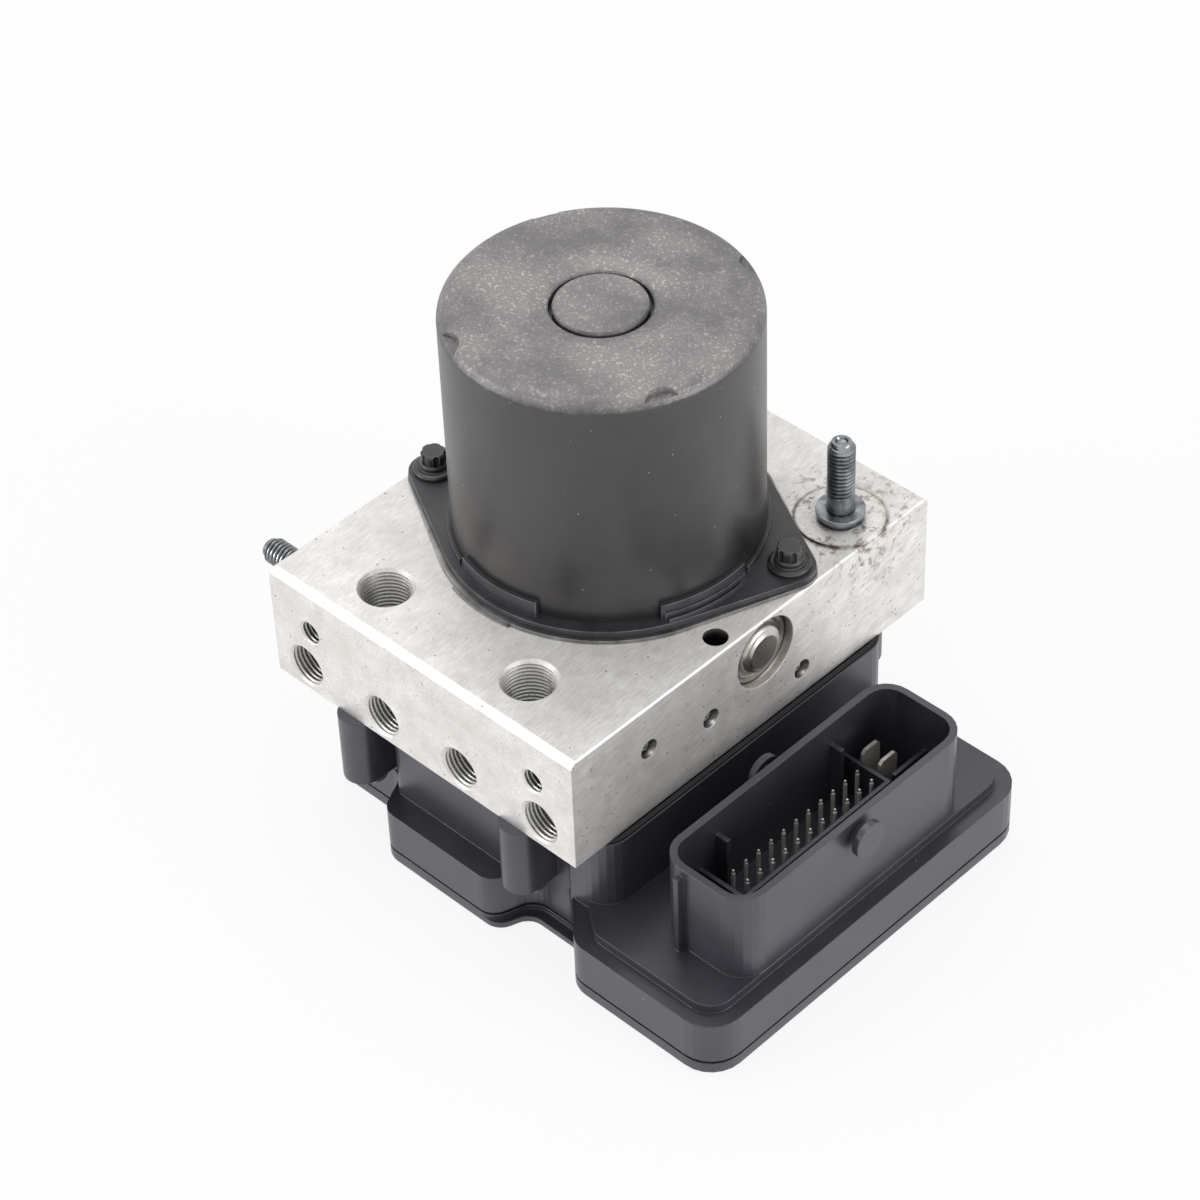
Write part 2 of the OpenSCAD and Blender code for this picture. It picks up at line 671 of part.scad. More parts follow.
module motor_base_plate() {
    margin = 1;
    lobe_out = 0.65;
    lobe_h = 0.5;
    lobe_from = -106;
    lobe_to = -80;
    color("silver") difference() {
        union() {
            translate([0, 0, block_top]) linear_extrude(plate_t) flange_shape(margin, 0.2);
            // Pressed lobe at the edge
            translate([0, 0, block_top]) linear_extrude(lobe_h) polygon(concat([[0, 0]],
                arc([0, 0], flange_r + margin + lobe_out, lobe_from, lobe_to, 8)));
            rod([0, 0], hub_bottom, block_top + 0.5, hub_r);
        }
        rod([0, 0], hub_bottom + hub_lip, flange_z + 1, front_bearing_r + fit);
        rod([0, 0], hub_bottom - 1, flange_z + 1, front_bearing_r - 1.6);
        rod(contact_at, block_top - 1, flange_z + 1, contact_sleeve_r + fit);
        for (s = [-1, 1]) rod(s * motor_screw_at, block_top - 1, flange_z + 1, motor_screw_r + 0.2);
    }
}

module motor_screws() {
    washer_r = 4.6;
    base_r = 3.1;
    base_h = 2.6;
    base_top = can_z + base_h;
    head_r = 2.75;
    head_h = 5.2;
    head_top = can_z + head_h;
    screw_bottom = block_top - motor_screw_in;
    color([0.1, 0.1, 0.11]) for (s = [-1, 1]) translate([s * motor_screw_at[0],
        s * motor_screw_at[1], 0]) {
        rotate_extrude() polygon([[0, screw_bottom],
            [motor_screw_r - motor_screw_point, screw_bottom],
            [motor_screw_r, screw_bottom + motor_screw_point],
            [motor_screw_r, can_z], [washer_r, can_z],
            [washer_r, can_z + 0.8], [washer_r - 0.3, can_z + 1.1], [3.8, can_z + 1.3],
            [3.4, can_z + 1.2], [base_r, can_z + 1.4], [base_r, base_top - 0.3],
            [base_r - 0.3, base_top], [0, base_top]]);
        // Six-lobed external drive with a bevelled end
        intersection() {
            translate([0, 0, base_top - 0.5]) linear_extrude(head_top - base_top + 0.5)
                difference() {
                circle(r = head_r);
                for (i = [0:5]) rotate(60 * i + 30) translate([head_r + 0.35, 0])
                    circle(r = 0.85, $fn = 24);
            }
            rotate_extrude() polygon([[0, base_top - 1], [head_r + 0.2, base_top - 1],
                [head_r + 0.2, head_top - 0.45], [head_r - 0.35, head_top], [0, head_top]]);
        }
    }
}

bearings = [
    [flange_z - front_bearing_w, front_bearing_w, front_bearing_r],
    [rear_bearing_top - rear_bearing_w, rear_bearing_w, rear_bearing_r]];
function race_mid(ro) = (shaft_r + ro) / 2;
function ball_size(ro) = (ro - shaft_r) * 0.27;

module race_groove(ro, w) {
    translate([0, 0, w / 2]) rotate_extrude() translate([race_mid(ro), 0])
        circle(r = ball_size(ro) + 0.03, $fn = 32);
}

module bearing_outer_rings() {
    color("lightsteelblue") for (b = bearings) translate([0, 0, b[0]]) difference() {
        ring([0, 0], 0, b[1], race_mid(b[2]) + 0.45 * ball_size(b[2]), b[2]);
        race_groove(b[2], b[1]);
    }
}

module bearing_inner_rings() {
    color("lightsteelblue") for (b = bearings) translate([0, 0, b[0]]) difference() {
        ring([0, 0], 0, b[1], shaft_r + fit, race_mid(b[2]) - 0.45 * ball_size(b[2]));
        race_groove(b[2], b[1]);
    }
}

module bearing_balls() {
    color("lightgray") for (b = bearings, i = [0:7]) rotate([0, 0, 45 * i])
        translate([race_mid(b[2]), 0, b[0] + b[1] / 2]) sphere(r = ball_size(b[2]), $fn = 32);
}

module magnets() {
    span = 76;
    color([0.2, 0.2, 0.22]) for (i = [0:3]) rotate([0, 0, 90 * i + 5])
        translate([0, 0, core_mid - magnet_l / 2]) linear_extrude(magnet_l) intersection() {
            difference() {
                circle(r = can_in_r - fit);
                circle(r = magnet_in_r);
            }
            polygon(concat([[0, 0]], arc([0, 0], 1.4 * can_r, -span / 2, span / 2, 6)));
        }
}

module rotor_shaft() {
    nose = central_floor + 1.5;
    color("silver") union() {
        rod([0, 0], nose + 0.5, rear_bearing_top + 0.4, shaft_r);
        rod([0, 0], nose, nose + 1, shaft_r - 0.5);
        rod([0, throw], pump_axis_z - eccentric_w / 2, pump_axis_z + eccentric_w / 2,
            shaft_r + throw + 0.1);
    }
}

module eccentric_ring() {
    color("lightsteelblue") ring([0, throw], pump_axis_z - eccentric_w / 2,
        pump_axis_z + eccentric_w / 2, shaft_r + throw + 0.1 + fit, ring_r);
}

// Trapezoid of one winding slot, shrunk by gap
module slot_shape(gap) {
    polygon([[slot_in_r + gap, gap - slot_in_w / 2], [slot_out_r - gap, gap - slot_out_w / 2],
        [slot_out_r - gap, slot_out_w / 2 - gap], [slot_in_r + gap, slot_in_w / 2 - gap]]);
}

module rotor_core() {
    opening = 2;
    color("slategray") translate([0, 0, core_z]) linear_extrude(core_l) difference() {
        circle(r = core_r);
        circle(r = shaft_r + fit);
        for (i = [0:slots - 1]) rotate(360 * i / slots) {
            slot_shape(0);
            translate([slot_out_r - 0.5, -opening / 2]) square([core_r, opening]);
        }
    }
}

module rotor_windings() {
    insulation = 0.15;
    top = core_z + core_l;
    color("chocolate") {
        for (z = [core_z - winding_end, top + insulation])
            ring([0, 0], z, z + winding_end - insulation, winding_in_r,
                slot_out_r - insulation);
        for (i = [0:slots - 1]) rotate([0, 0, 360 * i / slots])
            translate([0, 0, core_z - winding_end + 0.5])
            linear_extrude(core_l + 2 * winding_end - 1) slot_shape(insulation);
    }
}

module commutator() {
    riser = 1.5;
    cut = 0.5;
    color("peru") difference() {
        union() {
            rod([0, 0], commutator_z, commutator_z + commutator_l, commutator_r);
            rod([0, 0], commutator_z + commutator_l - riser, commutator_z + commutator_l,
                commutator_r + 1);
        }
        rod([0, 0], commutator_z - 1, commutator_z + commutator_l + 1, shaft_r + fit);
        for (i = [0:slots - 1]) rotate([0, 0, 360 * (i + 0.5) / slots])
            box([commutator_r - 1, -cut / 2, commutator_z - 1],
                [commutator_r + 2, cut / 2, commutator_z + commutator_l + 1]);
    }
}

module brush_holder() {
    box_in = commutator_r + 2.5;
    box_out = commutator_r + 16;
    color([0.25, 0.23, 0.2]) difference() {
        union() {
            ring([0, 0], can_z, can_z + holder_t, commutator_r + 1.6, can_in_r - 0.5);
            for (s = [0, 180]) rotate([0, 0, s])
                box([box_in, -brush_w / 2 - 1.2, can_z + 0.5],
                    [box_out, brush_w / 2 + 1.2, brush_z + brush_h + 1.2]);
        }
        for (s = [0, 180]) rotate([0, 0, s])
            box([box_in - 1, -brush_w / 2 - 0.1, brush_z - 0.1],
                [box_out - 1.2, brush_w / 2 + 0.1, brush_z + brush_h + 0.1]);
        for (s = [-1, 1]) rod([contact_at[0] + s * contact_gap / 2, contact_at[1]], can_z - 1,
            can_z + holder_t + 1, contact_r + fit);
    }
}

module brushes() {
    color([0.16, 0.16, 0.17]) for (s = [0, 180]) rotate([0, 0, s]) difference() {
        box([commutator_r - 0.3, -brush_w / 2, brush_z],
            [commutator_r + brush_l, brush_w / 2, brush_z + brush_h]);
        rod([0, 0], brush_z - 1, brush_z + brush_h + 1, commutator_r + 0.05);
    }
}

module brush_springs() {
    room = 5.6;
    color("silver") for (s = [0, 180]) rotate([0, 0, s])
        translate([commutator_r + brush_l + 0.05, 0, brush_z + brush_h / 2]) rotate([0, 90, 0])
        coil_spring(1.9, 0.25, room, 5, 8, 4);
}

module motor_contacts() {
    color("goldenrod") for (s = [-1, 1])
        rod([contact_at[0] + s * contact_gap / 2, contact_at[1]], board_z - 0.8,
            can_z + holder_t + 1.5, contact_r);
}

module contact_sleeve() {
    color([0.2, 0.2, 0.2]) difference() {
        rod(contact_at, ecu_h, can_z, contact_sleeve_r);
        for (s = [-1, 1]) rod([contact_at[0] + s * contact_gap / 2, contact_at[1]], ecu_h - 1,
            can_z + 1, contact_r + fit);
    }
}

module pump_piston() {
    spring_seat = 2;
    rotate([0, 90, 0]) translate([-pump_axis_z, 0, 0]) rotate_extrude() polygon([
        [0, piston_tip], [piston_r - 0.6, piston_tip], [piston_r, piston_tip + 0.6],
        [piston_r, piston_tip + 11], [piston_r - 0.5, piston_tip + 11],
        [piston_r - 0.5, piston_tip + 12.5], [piston_r, piston_tip + 12.5],
        [piston_r, piston_end - spring_seat], [piston_r - 1.4, piston_end - spring_seat],
        [piston_r - 1.4, piston_end], [0, piston_end]]);
}

module pump_piston_right() {
    color("lightsteelblue") pump_piston();
}

module pump_piston_left() {
    color("lightsteelblue") rotate([0, 0, 180]) pump_piston();
}

module pump_spring() {
    start = piston_end - 2 + 0.1;
    translate([start, 0, pump_axis_z]) rotate([0, 90, 0])
        coil_spring(piston_r - 0.75, 0.35, plug_in_x - 0.1 - start, 6, 10, 4);
}

module pump_spring_right() {
    color("silver") pump_spring();
}

module pump_spring_left() {
    color("silver") rotate([0, 0, 180]) pump_spring();
}

module pump_sleeves() {
    color("darkgray") for (s = [0, 180]) rotate([0, 0, s]) difference() {
        rod_x(sleeve_x0, plug_in_x, 0, pump_axis_z, sleeve_r);
        rod_x(sleeve_x0 - 1, plug_in_x + 1, 0, pump_axis_z, piston_r + run_gap);
        for (a = [0:90:270]) translate([0, 0, pump_axis_z]) rotate([a + 45, 0, 0])
            rod([sleeve_x0 + 12, 0], 0, sleeve_r + 1, 0.8);
    }
}

module pump_plugs() {
    rim_r = pump_bore_r - fit;
    face = block_half;
    color("gainsboro") for (s = [0, 180]) rotate([0, 0, s]) translate([0, 0, pump_axis_z])
        rotate([0, 90, 0]) rotate_extrude() polygon([[0, plug_in_x], [rim_r, plug_in_x],
            [rim_r, face - plug_depth + fit], [plug_mouth_r - 0.1, face - plug_depth + fit],
            [plug_mouth_r - 0.1, face - plug_depth + 0.8], [plug_mouth_r - 0.9, face - 1.9],
            [6.7, face - 2.1], [6.4, face - 2.6], [6, face - 2.5], [5.8, face - 1.3],
            [5.3, face - 0.8], [4.3, face - 0.6], [3.9, face - 0.2], [0, face - 0.2]]);
}

module accumulator_piston(s) {
    y0 = accu_floor + accu_rest_gap;
    y1 = y0 + accu_piston_l;
    r = accu_r - run_gap;
    translate([s * accu_x, 0, accu_z]) rotate([-90, 0, 0]) rotate_extrude() polygon([
        [0, y0], [r - 0.8, y0], [r, y0 + 0.8], [r, y0 + 2.4], [r - 1, y0 + 2.4], [r - 1, y0 + 4],
        [r, y0 + 4], [r, y1], [r - accu_wall, y1], [r - accu_wall, y0 + 4.6], [r - 3, y0 + accu_crown_t],
        [0, y0 + accu_crown_t]]);
}

module accumulator_piston_right() {
    color("silver") accumulator_piston(1);
}

module accumulator_piston_left() {
    color("silver") accumulator_piston(-1);
}

module accumulator_spring(s) {
    y0 = accu_floor + accu_rest_gap + accu_crown_t + fit;
    translate([s * accu_x, y0, accu_z]) rotate([-90, 0, 0])
        coil_spring(accu_r - accu_spring_in - accu_spring_wire, accu_spring_wire,
            accu_cap_y - fit - y0, 5, 12, 5);
}

module accumulator_spring_right() {
    color("silver") accumulator_spring(1);
}

module accumulator_spring_left() {
    color("silver") accumulator_spring(-1);
}

module accumulator_caps() {
    r = accu_r - fit;
    color("gainsboro") for (s = [-1, 1]) translate([s * accu_x, 0, accu_z]) rotate([-90, 0, 0])
        rotate_extrude() polygon([[0, accu_cap_y], [r, accu_cap_y],
            [r, accu_cap_y + accu_cap_t - 0.6], [r - 0.6, accu_cap_y + accu_cap_t],
            [r - 1.8, accu_cap_y + accu_cap_t], [r - 2.6, accu_cap_y + accu_cap_t - 1.2],
            [0, accu_cap_y + accu_cap_t - 1.2]]);
}

module at_valves() {
    for (x = valve_xs, y = valve_rows) translate([x, y, 0]) children();
}

module valve_bodies() {
    pole_r = armature_r;
    color("silver") at_valves() difference() {
        union() {
            rod([0, 0], ecu_h + 0.05, ecu_h + valve_flange_t, valve_flange_r);
            rod([0, 0], ecu_h + 1, ecu_h + valve_depth - 0.2, valve_r);
        }
        ring([0, 0], ecu_h - 1, dome_in + 0.1, pole_r, dome_r + fit);
        rod([0, 0], ecu_h - 1, needle_top + 0.4, needle_r + 0.9);
        rod([0, 0], needle_top, ecu_h + valve_depth, 0.5);
    }
    color("silver") at_valves()
        ring([0, 0], pole_bottom, ecu_h + 0.5, needle_r + 0.9, pole_r);
}

module valve_domes() {
    color("lightgray") at_valves() rotate_extrude() polygon(concat(
        [[0, dome_bottom]], arc([0, dome_bottom + dome_r], dome_r, -75, 0, 5),
        [[dome_r, dome_in], [dome_r - dome_wall, dome_in]],
        arc([0, dome_bottom + dome_r], dome_r - dome_wall, 0, -75, 5),
        [[0, dome_bottom + dome_wall]]));
}

// Armature with its needle; lift is its rest height above the released place
module armature(i, y, lift) {
    translate([valve_xs[i], y, lift]) {
        rod([0, 0], armature_z + 0.6, armature_top, armature_r);
        rod([0, 0], armature_z, armature_z + 1, armature_r - 0.6);
        rod([0, 0], armature_top - 0.5, needle_top - 0.9, needle_r);
    }
}

module inlet_armature_1() {
    color("slategray") armature(0, inlet_y, 0);
}

module inlet_armature_2() {
    color("slategray") armature(1, inlet_y, 0);
}

module inlet_armature_3() {
    color("slategray") armature(2, inlet_y, 0);
}

module inlet_armature_4() {
    color("slategray") armature(3, inlet_y, 0);
}

module outlet_armature_1() {
    color("slategray") armature(0, outlet_y, valve_travel);
}

module outlet_armature_2() {
    color("slategray") armature(1, outlet_y, valve_travel);
}

module outlet_armature_3() {
    color("slategray") armature(2, outlet_y, valve_travel);
}

module outlet_armature_4() {
    color("slategray") armature(3, outlet_y, valve_travel);
}

module valve_springs() {
    color("silver") for (x = valve_xs, k = [0, 1])
        translate([x, valve_rows[k], armature_top + k * valve_travel + fit])
        coil_spring(needle_r + 0.15 + valve_spring_wire, valve_spring_wire, valve_spring_l, 4, 8, 4);
}

module coil_bobbins() {
    cheek = 1;
    r = coil_r - yoke_t - 0.2;
    color([0.3, 0.3, 0.32]) at_valves() {
        ring([0, 0], coil_z + yoke_t, coil_top - yoke_t, coil_bore, coil_bore + 0.8);
        for (z = [coil_z + yoke_t, coil_top - yoke_t - cheek])
            ring([0, 0], z, z + cheek, coil_bore, r);
    }
}

module coil_windings() {
    color("chocolate") at_valves() ring([0, 0], coil_z + yoke_t + 1, coil_top - yoke_t - 1,
        coil_bore + 0.8, coil_r - yoke_t - 0.5);
}

module coil_yokes() {
    color("slategray") at_valves() difference() {
        union() {
            ring([0, 0], coil_z, coil_top, coil_r - yoke_t, coil_r);
            for (z = [coil_z, coil_top - yoke_t]) ring([0, 0], z, z + yoke_t, coil_bore,
                coil_r - yoke_t + 0.2);
        }
        for (s = [-1, 1]) rod([s * coil_pin_off, 0], coil_z - 1, coil_z + yoke_t + 0.01,
            coil_pin_r + 0.4);
    }
}

module coil_pins() {
    color("silver") at_valves() for (s = [-1, 1])
        rod([s * coil_pin_off, 0], board_z - 0.8, coil_z + yoke_t, coil_pin_r);
}

board_outline = inset(tray_outline, wall_t + 1.4);
board_posts = [[shroud_at[0] - 19, -recess_front + 6], [tray_right - 8, -tray_front + 9],
    [tray_right - 8, chamber_back - 6], [shroud_at[0] - 19, chamber_back - 5]];
board_ledges = [-34, 22];
ledge_l = 6;
// Chips as [x, y, width, length, height], and the row of coil drivers along the valves
chips = [[48, -22, 18, 18, 2.2], [20, 22, 12, 12, 1.8], [-14, 24, 10, 8, 1.8]];
driver = [10, 6.5, 2.3];
driver_at = [valve_xs[0] + 2.4, inlet_y - 8.75];
capacitor_x = 34;
capacitor_ys = [16, 27];
capacitor_r = 4;
capacitor_h = 13;

// Centre of each signal pin
signal_pin_list = concat([for (x = pin_rows_x, i = [0:pins_in_row - 1])
    [x, pin_y0 + i * pin_pitch]], [lone_pin]);

module circuit_board() {
    color("darkgreen") difference() {
        slab(board_outline, board_z, board_top);
        for (p = signal_pin_list) translate([p[0], p[1], board_top])
            cube([pin_slot, pin_slot, 3 * board_t], center = true);
        for (x = blades_x) translate([x, blade_y, board_top])
            cube([blade_t + 2 * fit, blade_w + 2 * fit, 3 * board_t], center = true);
        at_valves() for (s = [-1, 1]) rod([s * coil_pin_off, 0], board_z - 1, board_top + 1,
            coil_pin_r + fit);
        for (s = [-1, 1]) rod([contact_at[0] + s * contact_gap / 2, contact_at[1]], board_z - 1,
            board_top + 1, contact_r + fit);
    }
}

module board_chips() {
    color([0.15, 0.15, 0.16]) {
        for (c = chips) box([c[0] - c[2] / 2, c[1] - c[3] / 2, board_z - c[4]],
            [c[0] + c[2] / 2, c[1] + c[3] / 2, board_z]);
        for (i = [0:3]) translate([driver_at[0] + valve_pitch * i, driver_at[1], board_z])
            box([-driver[0] / 2, -driver[1] / 2, -driver[2]], [driver[0] / 2, driver[1] / 2, 0]);
    }
}

module board_capacitors() {
    color([0.35, 0.36, 0.4]) for (y = capacitor_ys)
        rod([capacitor_x, y], board_top, board_top + capacitor_h, capacitor_r);
}

module signal_pins() {
    tip = 0.9;
    z1 = shroud_floor + pin_h;
    color("goldenrod") for (p = signal_pin_list) translate([p[0], p[1], 0]) {
        box([-pin_w / 2, -pin_w / 2, board_z - 0.8], [pin_w / 2, pin_w / 2, z1 - tip]);
        box([-pin_w / 3, -pin_w / 3, z1 - tip - 0.1], [pin_w / 3, pin_w / 3, z1]);
    }
}

module power_blades() {
    z1 = shroud_floor + pin_h + 0.5;
    color("silver") for (x = blades_x) translate([x + blade_t / 2, blade_y, board_z - 0.8])
        rotate([90, 0, -90]) linear_extrude(blade_t) polygon([[-blade_w / 2, 0], [blade_w / 2, 0],
            [blade_w / 2, z1 - board_z], [blade_w / 2 - 0.8, z1 - board_z + 0.8],
            [0.8 - blade_w / 2, z1 - board_z + 0.8], [-blade_w / 2, z1 - board_z]]);
}

// Solid outer form of the housing, before its hollows
module housing_outside() {
    slab(tray_outline, cover_h + seam / 2, tray_h);
    slab(plateau_outline, tray_h - 1, plateau_z);
    slab(chamber_outline, tray_h - 1, ecu_h - seat_gap);
    // Screw bosses that run back to the chamber walls
    for (x = ecu_screw_xs) {
        rod([x, -boss_front], plateau_z, ecu_h, boss_r);
        box([x - boss_r, -boss_front, plateau_z], [x + boss_r, 1 - recess_front, ecu_h]);
    }
    for (s = [-1, 1]) {
        rod([s * ecu_screw_back_x, ecu_screw_back], plateau_z, ecu_h, boss_r);
        box([s * ecu_screw_back_x - boss_r, chamber_back - 1, plateau_z],
            [s * ecu_screw_back_x + boss_r, ecu_screw_back, ecu_h]);
    }
}

module housing_hollows() {
    slab(inset(tray_outline, wall_t), cover_h - 1, tray_h - wall_t);
    slab(inset(plateau_outline, wall_t), tray_h - wall_t - 0.1, plateau_z - wall_t);
    slab(inset(chamber_outline, wall_t), cover_h - 1, ecu_h + 1);
    for (p = ecu_screws_at) rod(p, plateau_z - 1, ecu_h + 1, ecu_screw_r + 0.2);
    // Groove for the seal against the valve block
    difference() {
        slab(inset(chamber_outline, 0.4), ecu_h - seat_gap - 0.8, ecu_h + 1);
        slab(inset(chamber_outline, wall_t - 0.4), ecu_h - seat_gap - 2, ecu_h + 2);
    }
}

module shroud_walls() {
    difference() {
        slab(rect(shroud_at, shroud_w, shroud_l, shroud_r), shroud_floor - 0.5, shroud_top);
        slab(rect(shroud_at, shroud_in_w, shroud_in_l, shroud_r - shroud_wall),
            shroud_floor - 1, shroud_top + 1);
    }
    top = shroud_floor + partition_h;
    low = shroud_floor - 0.5;
    h = partition_t / 2;
    box([shroud_left - 0.5, front_wall_y - h, low], [long_wall_x + h, front_wall_y + h, top]);
    box([long_wall_x - h, front_wall_y - h, low], [long_wall_x + h, mid_wall_y + h, top]);
    box([shroud_left - 0.5, mid_wall_y - h, low], [long_wall_x + h, mid_wall_y + h, top]);
    box([long_wall_x - h - 0.4, mid_wall_y + 2.1, low],
        [long_wall_x + h - 0.4, shroud_back + 0.5, top]);
    for (y = key_ys) box([shroud_left - 0.5, y - key_t / 2, low],
        [shroud_left + key_out, y + key_t / 2, shroud_floor + key_h]);
    // Key on the outside of the front wall
    box([shroud_at[0] - 5.7, shroud_front - shroud_wall - 1.7, low],
        [shroud_at[0] - 4.4, shroud_front - shroud_wall + 0.5, shroud_top - 2]);
    // Knobs for the plug's lever
    for (s = [-1, 1]) {
        x0 = shroud_at[0] + s * (shroud_w / 2);
        for (k = [[-0.5, knob_stem + 0.5, knob_r * 0.6], [knob_stem, knob_stem + knob_t, knob_r]])
            translate([x0 + s * k[0], knob_y, knob_z]) rotate([0, s * 90, 0])
            cylinder(h = k[1] - k[0], r = k[2]);
    }
}

module ecu_housing() {
    color([0.2, 0.2, 0.22]) difference() {
        union() {
            difference() {
                housing_outside();
                housing_hollows();
            }
            shroud_walls();
            // Posts and ledges that hold the circuit board
            for (p = board_posts) rod(p, board_top + 0.02, plateau_z - 0.5, 2.2);
            for (y = board_ledges) box([0.5 - chamber_left - 0.2, y, board_top + 0.02],
                [4.5 - chamber_left, y + ledge_l, tray_h + 2]);
        }
        for (p = signal_pin_list) translate([p[0], p[1], plateau_z])
            cube([pin_slot, pin_slot, 6], center = true);
        for (x = blades_x) translate([x, blade_y, plateau_z])
            cube([blade_t + 2 * fit, blade_w + 2 * fit, 6], center = true);
    }
}

module ecu_cover() {
    plate = 2;
    edge = cover_h - seam / 2;
    color([0.17, 0.17, 0.19]) {
        difference() {
            union() {
                slab(inset(foot_outline, 0.5), 0, 0.4);
                slab(inset(foot_outline, 0.15), 0.3, 0.8);
                slab(foot_outline, 0.7, 2);
                slab(tray_outline, 1.9, edge);
            }
            slab(inset(tray_outline, wall_t), plate, cover_h);
        }
        // Posts that carry the circuit board
        for (p = board_posts) rod(p, plate - 0.5, board_z, 2);
        for (y = board_ledges) box([2.5 - chamber_left, y, plate - 0.5],
            [4.5 - chamber_left, y + ledge_l, board_z]);
    }
}

module cover_seal() {
    lip = 0.5;
    color([0.07, 0.07, 0.07]) difference() {
        slab(inset(tray_outline, lip), cover_h - seam / 2, cover_h + seam / 2);
        slab(inset(tray_outline, wall_t), cover_h - 1, cover_h + 1);
    }
}

module ecu_seal() {
    color([0.1, 0.1, 0.1]) difference() {
        slab(inset(chamber_outline, 0.45), ecu_h - seat_gap - 0.8, ecu_h);
        slab(inset(chamber_outline, wall_t - 0.45), ecu_h - 2, ecu_h + 1);
    }
}

module ecu_screws() {
    head_h = 2.4;
    socket_r = 1.9;
    color("silver") for (p = ecu_screws_at) translate([p[0], p[1], 0]) difference() {
        union() {
            rod([0, 0], plateau_z - 0.5, ecu_h + 11, ecu_screw_r);
            rod([0, 0], plateau_z - head_h, plateau_z, ecu_head_r);
        }
        rod([0, 0], plateau_z - head_h - 1, plateau_z - 0.9, socket_r);
    }
}

// Stud along +Z: a thinner end held from z0 to face, then the free end up to z1
module stud(z0, face, z1) {
    rotate_extrude() polygon([[0, z0], [stud_core_r - 0.5, z0], [stud_core_r, z0 + 0.5],
        [stud_core_r, face + fit], [stud_r, face + fit],
        [stud_r, z1 - stud_point], [stud_r - 0.55, z1 - stud_point + 0.5],
        [stud_r - 0.7, z1 - stud_point + 0.55], [stud_r - 0.8, z1 - 0.2], [stud_r - 1, z1],
        [1.4, z1], [1.1, z1 - 0.5], [0, z1 - 0.6]]);
}

module top_stud() {
    color("lightsteelblue") translate([stud_at[0], stud_at[1], 0])
        stud(block_top - stud_in, block_top + spot_h + collar_t, block_top + stud_h);
}

module stud_collar() {
    color("silver") translate([stud_at[0], stud_at[1], block_top + spot_h]) difference() {
        union() {
            rod([0, 0], 0, collar_t - 0.9, 4.7);
            rod([0, 0], collar_t - 1.1, collar_t, 5.3);
        }
        rod([0, 0], -1, collar_t + 1, stud_core_r + fit);
    }
}

module side_stud() {
    color("lightsteelblue") translate([side_stud_in - block_half, side_stud_at[0],
        ecu_h + side_stud_at[1]]) rotate([0, -90, 0]) stud(0.3, side_stud_in, side_stud_in + side_stud_l);
}

valve_block();
motor_can();
motor_flange();
motor_base_plate();
motor_screws();
bearing_outer_rings();
bearing_balls();
bearing_inner_rings();
magnets();
rotor_shaft();
rotor_core();
rotor_windings();
commutator();
brush_holder();
brushes();
brush_springs();
motor_contacts();
contact_sleeve();
eccentric_ring();
pump_piston_right();
pump_piston_left();
pump_spring_right();
pump_spring_left();
pump_sleeves();
pump_plugs();
accumulator_piston_right();
accumulator_piston_left();
accumulator_spring_right();
accumulator_spring_left();
accumulator_caps();
valve_bodies();
valve_domes();
inlet_armature_1();
inlet_armature_2();
inlet_armature_3();
inlet_armature_4();
outlet_armature_1();
outlet_armature_2();
outlet_armature_3();
outlet_armature_4();
valve_springs();
coil_bobbins();
coil_windings();
coil_yokes();
coil_pins();
circuit_board();
board_chips();
board_capacitors();
signal_pins();
power_blades();
ecu_housing();
ecu_cover();
cover_seal();
ecu_seal();
ecu_screws();
top_stud();
stud_collar();
side_stud();
ball_plugs();
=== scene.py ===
import math

import bpy
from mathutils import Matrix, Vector


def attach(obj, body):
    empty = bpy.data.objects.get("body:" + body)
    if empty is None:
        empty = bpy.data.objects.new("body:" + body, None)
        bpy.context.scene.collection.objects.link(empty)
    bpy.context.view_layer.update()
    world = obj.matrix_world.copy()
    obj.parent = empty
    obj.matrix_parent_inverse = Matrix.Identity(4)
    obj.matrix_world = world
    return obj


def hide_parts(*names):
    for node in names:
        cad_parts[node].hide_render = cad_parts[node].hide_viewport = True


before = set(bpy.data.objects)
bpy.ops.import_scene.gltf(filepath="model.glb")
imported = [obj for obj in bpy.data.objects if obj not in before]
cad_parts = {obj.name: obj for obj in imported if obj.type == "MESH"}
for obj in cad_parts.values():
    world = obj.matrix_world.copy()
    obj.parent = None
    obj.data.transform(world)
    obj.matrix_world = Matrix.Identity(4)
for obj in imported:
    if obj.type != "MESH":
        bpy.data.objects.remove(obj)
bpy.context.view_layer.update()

MM = 0.001

# --- The studio: an even white room with one soft lamp above the left side.
# The camera stands where the photograph was taken, above the front right corner, with a long lens.
bpy.ops.object.select_all(action="DESELECT")
bpy.ops.object.camera_add(location=(0.41618, -0.41373, 0.57362),
                          rotation=(0.834086, 0.030637, 0.765044))
camera = bpy.context.object
camera.name = "photo_camera"
camera.data.lens = 111.094
camera.data.sensor_width = 36
camera.data.clip_start = 0.05
bpy.context.scene.camera = camera
bpy.context.scene.view_settings.view_transform = "Standard"


def linear(code):
    """sRGB hex colour as linear RGBA."""
    parts = [int(code[i:i + 2], 16) / 255 for i in (1, 3, 5)]
    return [p / 12.92 if p <= 0.04045 else ((p + 0.055) / 1.055) ** 2.4 for p in parts] + [1]


def add(tree, kind, inputs=None, **settings):
    """Adds one node: settings are its properties, inputs its sockets, as values or as other sockets."""
    made = tree.nodes.new(kind)
    for key, value in settings.items():
        setattr(made, key, value)
    for key, value in (inputs or {}).items():
        if isinstance(value, bpy.types.NodeSocket):
            tree.links.new(value, made.inputs[key])
        else:
            made.inputs[key].default_value = value
    return made


